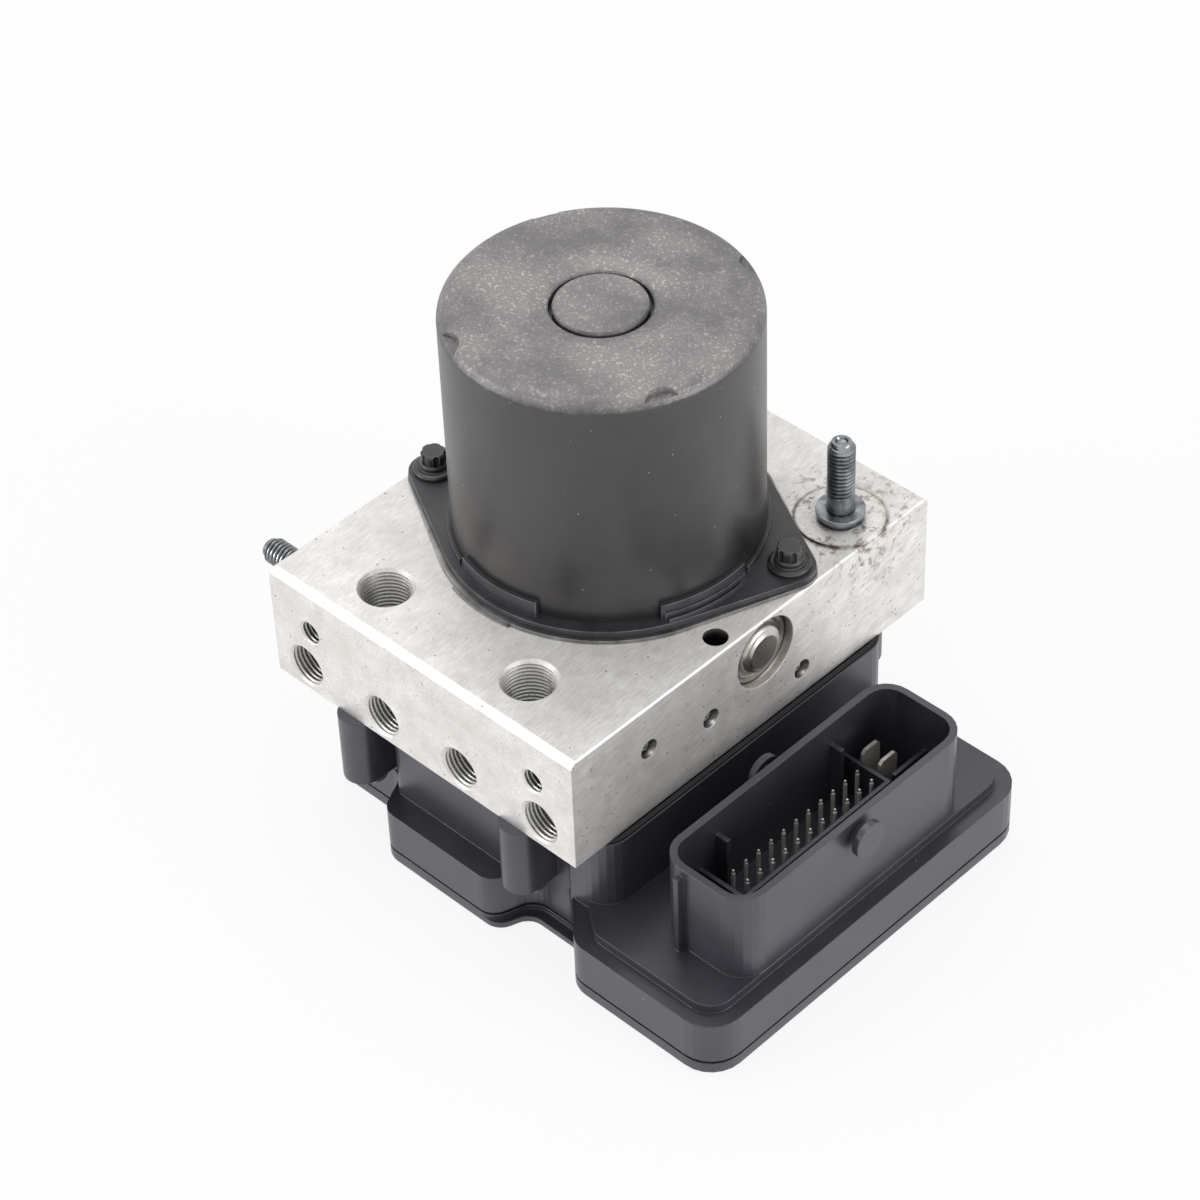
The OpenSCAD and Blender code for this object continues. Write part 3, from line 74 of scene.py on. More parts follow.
def softbox(name, place, aim, size, power):
    """Square area lamp that looks at a point."""
    bpy.ops.object.light_add(type="AREA", location=place)
    lamp = bpy.context.object
    lamp.name = name
    lamp.data.shape = "SQUARE"
    lamp.data.size = size
    lamp.data.energy = power
    lamp.rotation_euler = (Vector(aim) - Vector(place)).to_track_quat("-Z", "Y").to_euler()


OBJECT_MIDDLE = (0.01, -0.01, 0.05)
softbox("top_softbox", (-0.35, 0.15, 0.95), OBJECT_MIDDLE, 0.6, 2.2)
softbox("left_softbox", (-0.55, -0.85, 0.3), OBJECT_MIDDLE, 0.5, 4)
softbox("right_softbox", (0.95, 0.2, 0.3), OBJECT_MIDDLE, 0.5, 4)

world = bpy.data.worlds.new("white_studio")
bpy.context.scene.world = world
world.use_nodes = True
world.node_tree.nodes.clear()
seen = add(world.node_tree, "ShaderNodeLightPath")
room = add(world.node_tree, "ShaderNodeBackground", {"Color": linear("#ffffff"), "Strength": 0.8})
white = add(world.node_tree, "ShaderNodeBackground", {"Color": linear("#fefefe"), "Strength": 1})
pick = add(world.node_tree, "ShaderNodeMixShader", {0: seen.outputs["Is Camera Ray"],
                                                    1: room.outputs[0], 2: white.outputs[0]})
add(world.node_tree, "ShaderNodeOutputWorld", {"Surface": pick.outputs[0]})

bpy.ops.mesh.primitive_plane_add(size=6, location=(0, 0, -0.0002))
floor = bpy.context.object
floor.name = "studio_floor"
# Matt white paper; camera, gloss and glass see it near white, with a faint shadow left.
paper = bpy.data.materials.new("matt_white_paper")
paper.use_nodes = True
tree = paper.node_tree
tree.nodes.clear()
seen = add(tree, "ShaderNodeLightPath")
matt = add(tree, "ShaderNodeBsdfDiffuse", {"Color": linear("#f2f2f2")})
glow = add(tree, "ShaderNodeEmission", {"Color": linear("#fdfdfd"), "Strength": 1})
gloss_too = add(tree, "ShaderNodeMath", {0: seen.outputs["Is Camera Ray"],
                                         1: seen.outputs["Is Glossy Ray"]}, operation="MAXIMUM")
glass_too = add(tree, "ShaderNodeMath", {0: gloss_too.outputs[0],
                                         1: seen.outputs["Is Transmission Ray"]},
                operation="MAXIMUM")
share = add(tree, "ShaderNodeMath", {0: glass_too.outputs[0], 1: 0.88}, operation="MULTIPLY")
both = add(tree, "ShaderNodeMixShader", {0: share.outputs[0], 1: matt.outputs[0],
                                         2: glow.outputs[0]})
add(tree, "ShaderNodeOutputMaterial", {"Surface": both.outputs[0]})
floor.data.materials.append(paper)

# --- Valve block: extruded aluminium, milled on all sides, drilled and tapped.
# It is silvery with a fine brushed grain, small pits along its edges and brown traces by the stud.

# Angles in degrees: faces closer than the first are one flat face, edges over the last are broken
FLAT_ANGLE, SMOOTH_ANGLE, SHARP_ANGLE = 0.4, 38, 40
# Points closer than this, in mm, are one point
SAME_POINT = 0.002


def take(*objects):
    """Selects these objects and nothing else; the first is active."""
    bpy.ops.object.select_all(action="DESELECT")
    for thing in objects:
        thing.select_set(True)
    bpy.context.view_layer.objects.active = objects[0]


def copy_of(node):
    """Copy of a CAD node's mesh with its faces connected."""
    take(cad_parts[node])
    bpy.ops.object.duplicate()
    made = bpy.context.object
    made.name = node + "_finished"
    # The normals it came with go first: with them, sharp edges are missed when it is shaded
    bpy.ops.mesh.customdata_custom_splitnormals_clear()
    bpy.ops.object.mode_set(mode="EDIT")
    bpy.ops.mesh.select_all(action="SELECT")
    bpy.ops.mesh.remove_doubles(threshold=SAME_POINT * MM)
    bpy.ops.object.mode_set(mode="OBJECT")
    return made


def apply_modifier(thing, kind, **settings):
    """Adds a modifier with these settings and applies it."""
    take(thing)
    bpy.ops.object.modifier_add(type=kind)
    modifier = thing.modifiers[-1]
    for key, value in settings.items():
        setattr(modifier, key, value)
    bpy.ops.object.modifier_apply(modifier=modifier.name)


def shade_round(thing):
    """Shades curved faces smooth and keeps the edges."""
    take(thing)
    bpy.ops.object.shade_smooth_by_angle(angle=math.radians(SMOOTH_ANGLE))


def round_edges(thing, width_mm):
    """Joins the flat faces and breaks the sharp edges; a wide bevel folds faces at short edges."""
    take(thing)
    bpy.ops.object.mode_set(mode="EDIT")
    bpy.ops.mesh.select_all(action="SELECT")
    bpy.ops.mesh.dissolve_limited(angle_limit=math.radians(FLAT_ANGLE))
    bpy.ops.object.mode_set(mode="OBJECT")
    apply_modifier(thing, "BEVEL", width=width_mm * MM, segments=2, limit_method="ANGLE",
                   angle_limit=math.radians(SHARP_ANGLE), use_clamp_overlap=False,
                   miter_outer="MITER_SHARP")
    shade_round(thing)
    # The wide flat faces stay flat, so that only the narrow bevels turn the light
    apply_modifier(thing, "WEIGHTED_NORMAL", mode="FACE_AREA", weight=50, keep_sharp=True)


def stand_for(thing, node):
    """The finished copy takes the place of its node."""
    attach(thing, "module")
    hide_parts(node)


def thread_tool(size, turns, place_mm, turn=(0, 0, 0)):
    """Coil of a four-sided section that cuts a thread; it starts at the place and climbs along Z."""
    mid_mm, depth_mm, pitch_mm = size
    bpy.ops.object.select_all(action="DESELECT")
    bpy.ops.mesh.primitive_circle_add(vertices=4, radius=1, location=(mid_mm * MM, 0, 0),
                                      rotation=(math.pi / 2, 0, 0))
    tool = bpy.context.object
    tool.scale = (depth_mm * MM, 0.4 * pitch_mm * MM, 1)
    bpy.ops.object.transform_apply(location=True, rotation=True, scale=True)
    apply_modifier(tool, "SCREW", angle=2 * math.pi, steps=36, render_steps=36,
                   iterations=turns, screw_offset=pitch_mm * MM, axis="Z")
    bpy.ops.object.mode_set(mode="EDIT")
    bpy.ops.mesh.select_all(action="SELECT")
    bpy.ops.mesh.remove_doubles(threshold=0.001 * MM)
    bpy.ops.mesh.select_all(action="SELECT")
    bpy.ops.mesh.fill_holes(sides=4)
    bpy.ops.mesh.select_all(action="SELECT")
    bpy.ops.mesh.normals_make_consistent(inside=False)
    bpy.ops.object.mode_set(mode="OBJECT")
    tool.rotation_euler = turn
    tool.location = [c * MM for c in place_mm]
    bpy.ops.object.transform_apply(location=True, rotation=True, scale=True)
    return tool


def cut(thing, *tools):
    """Cuts the tools out of a piece and removes them."""
    take(*tools)
    if len(tools) > 1:
        bpy.ops.object.join()
    tool = tools[0]
    apply_modifier(thing, "BOOLEAN", object=tool, operation="DIFFERENCE", solver="EXACT")
    take(tool)
    bpy.ops.object.delete()
    shade_round(thing)


def finish(name, dark, light, patch_mm, rough, metallic=0, grain_mm=0.4, bump_mm=0.01,
           spread=0.08, wear_and_highlight=None, wear_and_highlight_mm=0.25, specks=None, speck_mm=1.6, speck_r_mm=0.12,
           specular=0.5, tint="#ffffff", edge_mm=0):
    """A finish whose colour and gloss drift in patches over a fine grain.

    wear_and_highlight is the colour of outer edges: rubbed edges on most pieces, a painted highlight on
    the block and partly on the plate; specks that of scattered dots of dust or pits.
    edge_mm shades sharp edges as if they were rounded by that much.
    """
    made = bpy.data.materials.new(name)
    made.use_nodes = True
    tree = made.node_tree
    shader = tree.nodes["Principled BSDF"]
    place = add(tree, "ShaderNodeTexCoord").outputs["Object"]
    patches = add(tree, "ShaderNodeTexNoise", {"Vector": place, "Scale": 1000 / patch_mm,
                                               "Detail": 6, "Roughness": 0.6})
    grain = add(tree, "ShaderNodeTexNoise", {"Vector": place, "Scale": 1000 / grain_mm,
                                             "Detail": 3})
    tone = add(tree, "ShaderNodeMapRange", {"Value": patches.outputs["Fac"], "From Min": 0.3,
                                            "From Max": 0.7})
    colour = add(tree, "ShaderNodeMix", {0: tone.outputs[0], 6: linear(dark), 7: linear(light)},
                 data_type="RGBA").outputs[2]
    gloss = add(tree, "ShaderNodeMapRange", {"Value": grain.outputs["Fac"],
                                             "To Min": rough - spread, "To Max": rough + spread})
    if specks:
        dots = add(tree, "ShaderNodeTexVoronoi", {"Vector": place, "Scale": 1000 / speck_mm})
        size = add(tree, "ShaderNodeSeparateColor", {0: dots.outputs["Color"]})
        reach = add(tree, "ShaderNodeMath", {0: size.outputs[0], 1: speck_r_mm / speck_mm},
                    operation="MULTIPLY")
        inside = add(tree, "ShaderNodeMath", {0: dots.outputs["Distance"], 1: reach.outputs[0]},
                     operation="LESS_THAN")
        chosen = add(tree, "ShaderNodeMath", {0: size.outputs[1], 1: 0.45}, operation="GREATER_THAN")
        both = add(tree, "ShaderNodeMath", {0: inside.outputs[0], 1: chosen.outputs[0]},
                   operation="MULTIPLY")
        part = add(tree, "ShaderNodeMath", {0: both.outputs[0], 1: 0.8}, operation="MULTIPLY")
        colour = add(tree, "ShaderNodeMix", {0: part.outputs[0], 6: colour, 7: linear(specks)},
                     data_type="RGBA").outputs[2]
    if wear_and_highlight:
        # Outer edges only, in the edge colour, which is wear and, on some pieces, a painted highlight:
        # the rounded normal turns away there, and no corner shades them
        flat = add(tree, "ShaderNodeNewGeometry").outputs["Normal"]
        rounded = add(tree, "ShaderNodeBevel", {"Radius": wear_and_highlight_mm * MM}, samples=4).outputs[0]
        bend = add(tree, "ShaderNodeVectorMath", {0: flat, 1: rounded}, operation="DOT_PRODUCT")
        edge = add(tree, "ShaderNodeMapRange", {"Value": bend.outputs["Value"], "From Min": 0.985,
                                                "From Max": 0.88})
        open_air = add(tree, "ShaderNodeAmbientOcclusion", {"Distance": 1.2 * MM}, samples=4)
        outer = add(tree, "ShaderNodeMapRange", {"Value": open_air.outputs["AO"],
                                                 "From Min": 0.7, "From Max": 0.95})
        broken = add(tree, "ShaderNodeMapRange", {"Value": patches.outputs["Fac"],
                                                  "From Min": 0.35, "From Max": 0.6,
                                                  "To Min": 0.25})
        edge = add(tree, "ShaderNodeMath", {0: edge.outputs[0], 1: outer.outputs[0]},
                   operation="MULTIPLY")
        edge = add(tree, "ShaderNodeMath", {0: edge.outputs[0], 1: broken.outputs[0]},
                   operation="MULTIPLY")
        colour = add(tree, "ShaderNodeMix", {0: edge.outputs[0], 6: colour, 7: linear(wear_and_highlight)},
                     data_type="RGBA").outputs[2]
    bump = add(tree, "ShaderNodeBump", {"Height": grain.outputs["Fac"], "Strength": 0.6,
                                        "Distance": bump_mm * MM})
    if edge_mm:
        turned = add(tree, "ShaderNodeBevel", {"Radius": edge_mm * MM}, samples=6)
        tree.links.new(turned.outputs[0], bump.inputs["Normal"])
    tree.links.new(colour, shader.inputs["Base Color"])
    tree.links.new(gloss.outputs[0], shader.inputs["Roughness"])
    tree.links.new(bump.outputs[0], shader.inputs["Normal"])
    shader.inputs["Metallic"].default_value = metallic
    shader.inputs["Specular IOR Level"].default_value = specular
    shader.inputs["Specular Tint"].default_value = linear(tint)
    return made


def dress(material, *things):
    """Gives CAD nodes, by name, or new pieces a material."""
    for thing in things:
        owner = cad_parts[thing] if isinstance(thing, str) else thing
        if not owner.material_slots:
            owner.data.materials.append(material)
        for slot in owner.material_slots:
            slot.material = material


BLOCK_FRONT, BLOCK_UNDER, BLOCK_TOP = -57, 34, 63
WHEEL_PORTS_X = [(i - 1.5) * 23 - 0.5 for i in range(4)]
WHEEL_PORT_Z = BLOCK_UNDER + 6.2
MASTER_PORTS = [(-20.8, -45), (20.8, -45)]
BRACKET_X, BRACKET_Z = 32.6, BLOCK_UNDER + 17
INTO_FRONT = (-math.pi / 2, 0, 0)
DOWN = (math.pi, 0, 0)
INTO_LEFT = (0, -math.pi / 2, 0)
# Threads as middle radius, half depth and pitch; each starts a little outside its mouth
M10_HOLE, M12_HOLE, M6_HOLE, M6_ROD = (4.46, 0.54, 1), (5.46, 0.54, 1), (2.5, 0.5, 1), (3.02, 0.55, 1)
LEAD_IN = 0.5

block = copy_of("valve_block")
# M10x1 pipe threads, M12x1 threads of the master cylinder ports and M6 bracket threads
tools = [thread_tool(M10_HOLE, 11, (x, BLOCK_FRONT - LEAD_IN, WHEEL_PORT_Z), INTO_FRONT)
         for x in WHEEL_PORTS_X]
tools += [thread_tool(M12_HOLE, 11, (x, y, BLOCK_TOP + LEAD_IN), DOWN)
          for x, y in MASTER_PORTS]
tools += [thread_tool(M6_HOLE, 7, (x, BLOCK_FRONT - LEAD_IN, BRACKET_Z), INTO_FRONT)
          for x in (-BRACKET_X, BRACKET_X)]
cut(block, *tools)
stand_for(block, "valve_block")

# Machined aluminium: brushed lines run along the block, slightly raised towards the back,
# 0.3 mm apart, which is coarser than the real ones so that they show
# The near-white edge colour is a painted highlight along the block's edges
block_skin = finish("machined_aluminium", "#dedbd8", "#f3f2f0", 5, 0.47, grain_mm=0.25,
                    bump_mm=0.006, spread=0.06, wear_and_highlight="#f8f8f8", wear_and_highlight_mm=0.4,
                    specks="#5c524a", speck_mm=1.7, speck_r_mm=0.24, edge_mm=0.25)
tree = block_skin.node_tree
shader = tree.nodes["Principled BSDF"]
place = add(tree, "ShaderNodeTexCoord").outputs["Object"]
turned = add(tree, "ShaderNodeMapping", {"Vector": place,
                                         "Rotation": (math.radians(7), 0, math.radians(4)),
                                         "Scale": (0.3 * MM, 11 * MM, 0.3 * MM)},
             vector_type="TEXTURE")
lines = add(tree, "ShaderNodeTexNoise", {"Vector": turned.outputs[0], "Scale": 1, "Detail": 3,
                                         "Roughness": 0.55})
streak = add(tree, "ShaderNodeMapRange", {"Value": lines.outputs["Fac"], "From Min": 0.35,
                                          "From Max": 0.65, "To Min": 0.84, "To Max": 1.04})
base = shader.inputs["Base Color"].links[0].from_socket
streaked = add(tree, "ShaderNodeMix", {0: 1.0, 6: base, 7: streak.outputs[0]},
               data_type="RGBA", blend_type="MULTIPLY")
# Brown traces of old sealant, up to 22 mm from the stud and thickest at the edge of its pad
PAD_R = 9.7
STUD_X, STUD_Y = 34.5, 34.1
STUD_AT = (STUD_X * MM, STUD_Y * MM, BLOCK_TOP * MM)
away = add(tree, "ShaderNodeVectorMath", {0: place, 1: STUD_AT}, operation="DISTANCE")
near = add(tree, "ShaderNodeMapRange", {"Value": away.outputs["Value"], "From Min": 22 * MM,
                                        "From Max": 9 * MM})
blots = add(tree, "ShaderNodeTexNoise", {"Vector": place, "Scale": 450, "Detail": 6,
                                         "Roughness": 0.7})
blot = add(tree, "ShaderNodeMapRange", {"Value": blots.outputs["Fac"], "From Min": 0.52,
                                        "From Max": 0.66})
spread_out = add(tree, "ShaderNodeMath", {0: near.outputs[0], 1: blot.outputs[0]},
                 operation="MULTIPLY")
off_edge = add(tree, "ShaderNodeMath", {0: away.outputs["Value"], 1: (PAD_R + 0.2) * MM},
               operation="SUBTRACT")
off_edge = add(tree, "ShaderNodeMath", {0: off_edge.outputs[0]}, operation="ABSOLUTE")
rim = add(tree, "ShaderNodeMapRange", {"Value": off_edge.outputs[0], "From Min": 0.75 * MM,
                                       "From Max": 0.15 * MM})
patchy = add(tree, "ShaderNodeMapRange", {"Value": blots.outputs["Fac"], "From Min": 0.38,
                                          "From Max": 0.55, "To Min": 0.35})
rim = add(tree, "ShaderNodeMath", {0: rim.outputs[0], 1: patchy.outputs[0]}, operation="MULTIPLY")
height = add(tree, "ShaderNodeSeparateXYZ", {0: place})
on_top = add(tree, "ShaderNodeMapRange", {"Value": height.outputs[2],
                                          "From Min": (BLOCK_TOP - 0.8) * MM,
                                          "From Max": (BLOCK_TOP - 0.5) * MM})
rim = add(tree, "ShaderNodeMath", {0: rim.outputs[0], 1: on_top.outputs[0]}, operation="MULTIPLY")
stain = add(tree, "ShaderNodeMath", {0: spread_out.outputs[0], 1: rim.outputs[0]},
            operation="MAXIMUM")
stained = add(tree, "ShaderNodeMix", {0: stain.outputs[0], 6: streaked.outputs[2],
                                      7: linear("#6e5f53")}, data_type="RGBA")
# Faint warm film in large patches
films = add(tree, "ShaderNodeTexNoise", {"Vector": place, "Scale": 60, "Detail": 4})
film = add(tree, "ShaderNodeMapRange", {"Value": films.outputs["Fac"], "From Min": 0.45,
                                        "From Max": 0.75, "To Max": 0.35})
filmed = add(tree, "ShaderNodeMix", {0: film.outputs[0], 6: stained.outputs[2],
                                     7: linear("#cfc6bf")}, data_type="RGBA")
# Painted shade: the bores and threads are painted near black where they are hollow
bore = add(tree, "ShaderNodeAmbientOcclusion", {"Distance": 9 * MM}, samples=6)
bore_shade = add(tree, "ShaderNodeMapRange", {"Value": bore.outputs["AO"], "From Min": 0.55,
                                        "From Max": 0.15, "To Max": 0.9})
shaded_bores = add(tree, "ShaderNodeMix", {0: bore_shade.outputs[0], 6: filmed.outputs[2],
                                    7: linear("#12100f")}, data_type="RGBA")
tree.links.new(shaded_bores.outputs[2], shader.inputs["Base Color"])
# The milled top is duller than the drawn sides; bores and threads are bare cut metal
sides = add(tree, "ShaderNodeMapRange", {"Value": height.outputs[2],
                                         "From Min": (BLOCK_TOP - 0.2) * MM,
                                         "From Max": (BLOCK_TOP - 0.03) * MM,
                                         "To Min": 0.75, "To Max": 0.35})
in_bore = add(tree, "ShaderNodeMapRange", {"Value": bore.outputs["AO"], "From Min": 0.7,
                                           "From Max": 0.4})
bare = add(tree, "ShaderNodeMath", {0: sides.outputs[0], 1: in_bore.outputs[0]},
           operation="MAXIMUM")
tree.links.new(bare.outputs[0], shader.inputs["Metallic"])
milled = shader.inputs["Roughness"].links[0].from_socket
smoother = add(tree, "ShaderNodeMath", {0: in_bore.outputs[0], 1: -0.22, 2: milled},
               operation="MULTIPLY_ADD")
tree.links.new(smoother.outputs[0], shader.inputs["Roughness"])
old_bump = shader.inputs["Normal"].links[0].from_socket
line_bump = add(tree, "ShaderNodeBump", {"Height": lines.outputs["Fac"], "Strength": 0.5,
                                         "Distance": 0.012 * MM, "Normal": old_bump})
tree.links.new(line_bump.outputs[0], shader.inputs["Normal"])
dress(block_skin, block)

# --- Steel balls pressed into the drillings, and the turned plugs crimped over pumps and accumulators.
# The balls are bright and smooth; the plugs show turned rings with brown film in their grooves.
dress(finish("polished_steel_ball", "#c4c4c4", "#dcdcdc", 3, 0.12, metallic=1, grain_mm=0.3,
             bump_mm=0.002, spread=0.04), "ball_plugs", "bearing_balls")
plugs = copy_of("pump_plugs")
round_edges(plugs, 0.1)
stand_for(plugs, "pump_plugs")
plug_skin = finish("turned_steel_plug", "#b3aca5", "#d2cecb", 4, 0.34, metallic=1, grain_mm=0.3,
                   bump_mm=0.006, wear_and_highlight="#eeeeee", wear_and_highlight_mm=0.2, specks="#6a5a4c", speck_mm=1.4,
                   speck_r_mm=0.2)
dress(plug_skin, plugs, "accumulator_caps")

# --- Motor base: zinc-plated steel plate with pressed hub, clamped under the black flange.
# The near-white edge colour is partly rubbed zinc and partly a painted highlight
dress(finish("zinc_plated_plate", "#6f6e6e", "#a9a8a8", 7, 0.38, metallic=1, grain_mm=0.4,
             bump_mm=0.006, wear_and_highlight="#f0f0f0", wear_and_highlight_mm=0.3), "motor_base_plate")

# --- Motor flange and its two screws: steel, black coated, with the coating rubbed at the edges.
flange = copy_of("motor_flange")
round_edges(flange, 0.09)
stand_for(flange, "motor_flange")
dress(finish("black_e_coat", "#252428", "#37363b", 6, 0.42, grain_mm=0.5, bump_mm=0.012,
             wear_and_highlight="#8d8c90", wear_and_highlight_mm=0.3, specks="#77777a", speck_mm=2.2, speck_r_mm=0.1,
             specular=0.7), flange)
dress(finish("black_phosphate_screw", "#151516", "#222224", 3, 0.36, grain_mm=0.3,
             bump_mm=0.008, wear_and_highlight="#97979b", wear_and_highlight_mm=0.25, specular=0.9, edge_mm=0.12), "motor_screws")

# --- Motor can: deep-drawn steel, charcoal paint. The side is satin with pale specks of dust;
# the end is painted lighter, partly for rubbed paint and partly as painted light from above, and
# covered in short curved scratches.
CAN_TOP = 122.4
can_skin = finish("charcoal_paint", "#121111", "#232121", 9, 0.36, grain_mm=0.45, bump_mm=0.03,
                  spread=0.07, specks="#8b8986", speck_mm=2.4, speck_r_mm=0.22, wear_and_highlight="#85827f",
                  wear_and_highlight_mm=0.5, specular=1)
tree = can_skin.node_tree
shader = tree.nodes["Principled BSDF"]
place = add(tree, "ShaderNodeTexCoord").outputs["Object"]
height = add(tree, "ShaderNodeSeparateXYZ", {0: place})
uneven = add(tree, "ShaderNodeTexNoise", {"Vector": place, "Scale": 350, "Detail": 5})
lifted = add(tree, "ShaderNodeMath", {0: uneven.outputs["Fac"], 1: 2.2 * MM},
             operation="MULTIPLY")
level = add(tree, "ShaderNodeMath", {0: height.outputs[2], 1: lifted.outputs[0]}, operation="ADD")
top = add(tree, "ShaderNodeMapRange", {"Value": level.outputs[0], "From Min": (CAN_TOP - 1.6) * MM,
                                       "From Max": (CAN_TOP + 0.3) * MM})
wobble = add(tree, "ShaderNodeTexNoise", {"Vector": place, "Scale": 800, "Detail": 2})
shift = add(tree, "ShaderNodeVectorMath", {0: wobble.outputs["Color"], 1: (0.003, 0.003, 0)},
            operation="MULTIPLY")
bent = add(tree, "ShaderNodeVectorMath", {0: place, 1: shift.outputs[0]}, operation="ADD")
hairs = add(tree, "ShaderNodeTexVoronoi", {"Vector": bent.outputs[0], "Scale": 850},
            feature="DISTANCE_TO_EDGE")
hair = add(tree, "ShaderNodeMapRange", {"Value": hairs.outputs["Distance"], "From Min": 0.09,
                                        "From Max": 0.03})
# Only pieces of the curls show, most of them in worn patches
pieces = add(tree, "ShaderNodeTexNoise", {"Vector": place, "Scale": 1300, "Detail": 1})
piece = add(tree, "ShaderNodeMapRange", {"Value": pieces.outputs["Fac"], "From Min": 0.5,
                                         "From Max": 0.58})
worn_spots = add(tree, "ShaderNodeTexNoise", {"Vector": place, "Scale": 48, "Detail": 4,
                                              "Roughness": 0.65})
worn_spot = add(tree, "ShaderNodeMapRange", {"Value": worn_spots.outputs["Fac"],
                                             "From Min": 0.42, "From Max": 0.62,
                                             "To Min": 0.18, "To Max": 0.75})
hair = add(tree, "ShaderNodeMath", {0: hair.outputs[0], 1: piece.outputs[0]},
           operation="MULTIPLY")
hair = add(tree, "ShaderNodeMath", {0: hair.outputs[0], 1: worn_spot.outputs[0]},
           operation="MULTIPLY")
# Painted light: the end's colour is lighter than the side's, partly wear and partly painted light from
# above
worn_and_lit_end = add(tree, "ShaderNodeMix", {0: worn_spot.outputs[0], 6: linear("#4e4c4f"),
                                     7: linear("#8b8786")}, data_type="RGBA")
hair_top = add(tree, "ShaderNodeMix", {0: hair.outputs[0], 6: worn_and_lit_end.outputs[2],
                                       7: linear("#c3beb8")}, data_type="RGBA")
side = shader.inputs["Base Color"].links[0].from_socket
whole = add(tree, "ShaderNodeMix", {0: top.outputs[0], 6: side, 7: hair_top.outputs[2]},
            data_type="RGBA")
tree.links.new(whole.outputs[2], shader.inputs["Base Color"])
side_gloss = shader.inputs["Roughness"].links[0].from_socket
duller = add(tree, "ShaderNodeMath", {0: top.outputs[0], 1: 0.12, 2: side_gloss},
             operation="MULTIPLY_ADD")
tree.links.new(duller.outputs[0], shader.inputs["Roughness"])
dress(can_skin, "motor_can")

# --- Studs: M6x1 steel, blue zinc plated, with rolled threads and a plain shank above the collar.
STUD_SHANK_TOP = 69.6
SIDE_STUD_START = (-44.4, -44.2, 51.1)
top_stud = copy_of("top_stud")
cut(top_stud, thread_tool(M6_ROD, 13, (STUD_X, STUD_Y, STUD_SHANK_TOP)))
stand_for(top_stud, "top_stud")
side_stud = copy_of("side_stud")
cut(side_stud, thread_tool(M6_ROD, 14, SIDE_STUD_START, INTO_LEFT))
stand_for(side_stud, "side_stud")
collar = copy_of("stud_collar")
round_edges(collar, 0.15)
stand_for(collar, "stud_collar")
zinc = finish("blue_zinc", "#6d7074", "#b4b8bb", 3, 0.3, metallic=1, grain_mm=0.25,
              bump_mm=0.004, wear_and_highlight="#dfe3e6", wear_and_highlight_mm=0.12)
dress(zinc, top_stud, side_stud, collar, "ecu_screws")
# Painted shade: the thread's grooves and the other hollows of these pieces are painted near black
tree = zinc.node_tree
shader = tree.nodes["Principled BSDF"]
grooves = add(tree, "ShaderNodeAmbientOcclusion", {"Distance": 0.9 * MM}, samples=6)
groove_shade = add(tree, "ShaderNodeMapRange", {"Value": grooves.outputs["AO"], "From Min": 0.8,
                                          "From Max": 0.45, "To Max": 0.9})
shaded_grooves = add(tree, "ShaderNodeMix", {0: groove_shade.outputs[0],
                                    6: shader.inputs["Base Color"].links[0].from_socket,
                                    7: linear("#161514")}, data_type="RGBA")
tree.links.new(shaded_grooves.outputs[2], shader.inputs["Base Color"])

# --- Control unit: housing, cover and contact sleeve injection moulded in glass-filled nylon.
# Dark grey, satin, with scattered dust; the housing's edges are rounded in the shading alone.
cover = copy_of("ecu_cover")
round_edges(cover, 0.1)
stand_for(cover, "ecu_cover")
plastic = finish("moulded_black_nylon", "#292a2f", "#35363c", 12, 0.34, grain_mm=0.35,
                 bump_mm=0.008, spread=0.06, specks="#8e8d8c", speck_mm=3.4, speck_r_mm=0.2,
                 specular=1, tint="#f0eef8", edge_mm=0.3)
dress(plastic, "ecu_housing", cover, "contact_sleeve")
dress(finish("black_silicone_seal", "#0b0b0b", "#141414", 5, 0.6, grain_mm=0.4, bump_mm=0.02),
      "cover_seal", "ecu_seal")

# --- Contacts of the connector: tin-plated brass, stamped.
dress(finish("tinned_brass", "#cfcac0", "#efece6", 2, 0.3, metallic=0.55, grain_mm=0.2,
             bump_mm=0.004, specular=0.8), "signal_pins", "power_blades", "motor_contacts", "coil_pins")

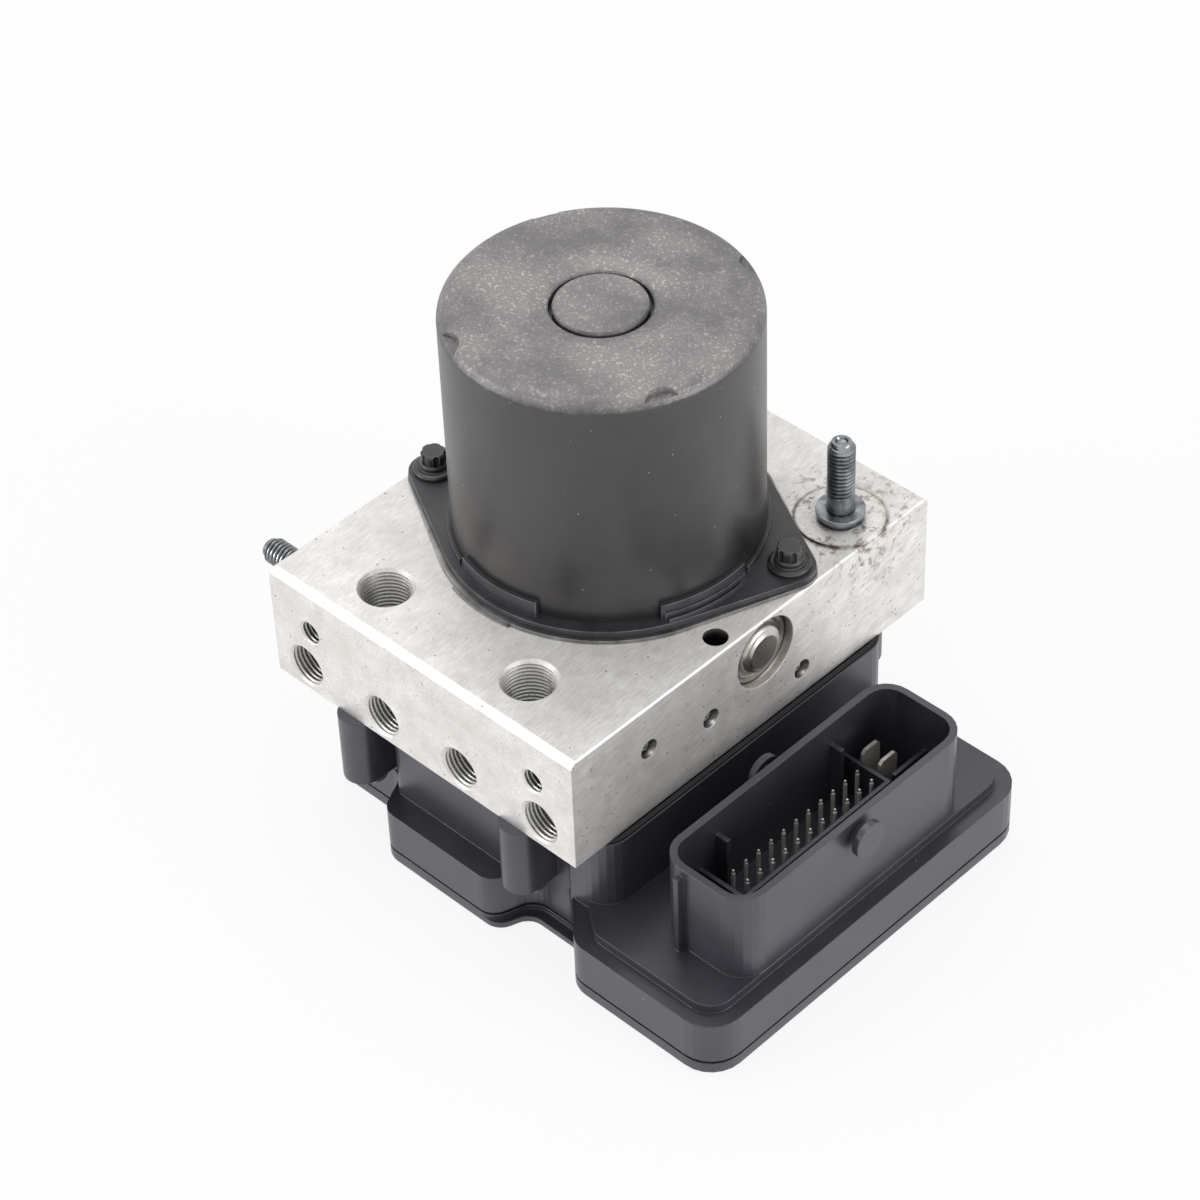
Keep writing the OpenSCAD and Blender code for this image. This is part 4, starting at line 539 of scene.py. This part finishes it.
# --- Inner pieces of motor, pumps, accumulators and valves, each in the finish it is made with.
dress(finish("ground_bearing_steel", "#a3a6aa", "#c3c6c9", 5, 0.18, metallic=1, grain_mm=0.3,
             bump_mm=0.002), "bearing_outer_rings", "bearing_inner_rings", "eccentric_ring",
      "rotor_shaft", "pump_piston_right", "pump_piston_left")
dress(finish("drawn_spring_wire", "#8a8b8c", "#b0b1b2", 2, 0.28, metallic=1, grain_mm=0.2,
             bump_mm=0.004), "brush_springs", "pump_spring_right", "pump_spring_left",
      "accumulator_spring_right", "accumulator_spring_left", "valve_springs")
dress(finish("sintered_ferrite", "#2a2a2c", "#3a3a3d", 6, 0.62, grain_mm=0.3, bump_mm=0.02),
      "magnets")
dress(finish("laminated_steel", "#6d7074", "#8b8e92", 4, 0.4, metallic=1, grain_mm=0.35,
             bump_mm=0.01), "rotor_core", "coil_yokes", *["%s_armature_%d" % (kind, i)
                                                          for kind in ("inlet", "outlet")
                                                          for i in range(1, 5)])
dress(finish("enamelled_copper", "#7d3f1b", "#a8592b", 3, 0.3, metallic=1, grain_mm=0.5,
             bump_mm=0.04), "rotor_windings", "coil_windings")
dress(finish("turned_copper", "#a05e38", "#c07a50", 3, 0.26, metallic=1, grain_mm=0.3,
             bump_mm=0.006), "commutator")
dress(finish("phenolic_moulding", "#2b241d", "#3a322a", 5, 0.5, grain_mm=0.4, bump_mm=0.015),
      "brush_holder", "coil_bobbins")
dress(finish("pressed_carbon", "#191919", "#262626", 2, 0.6, grain_mm=0.25, bump_mm=0.02),
      "brushes")
dress(finish("turned_valve_steel", "#999b9e", "#bbbdbf", 3, 0.27, metallic=1, grain_mm=0.3,
             bump_mm=0.005), "pump_sleeves", "accumulator_piston_right",
      "accumulator_piston_left", "valve_bodies", "valve_domes")
dress(finish("green_solder_mask", "#0d3a20", "#155230", 6, 0.3, grain_mm=0.4, bump_mm=0.01),
      "circuit_board")
dress(finish("epoxy_chip", "#151516", "#1f1f20", 3, 0.5, grain_mm=0.25, bump_mm=0.01),
      "board_chips")
dress(finish("sleeved_capacitor", "#2c2f3a", "#3b3f4c", 4, 0.35, grain_mm=0.4, bump_mm=0.01),
      "board_capacitors")
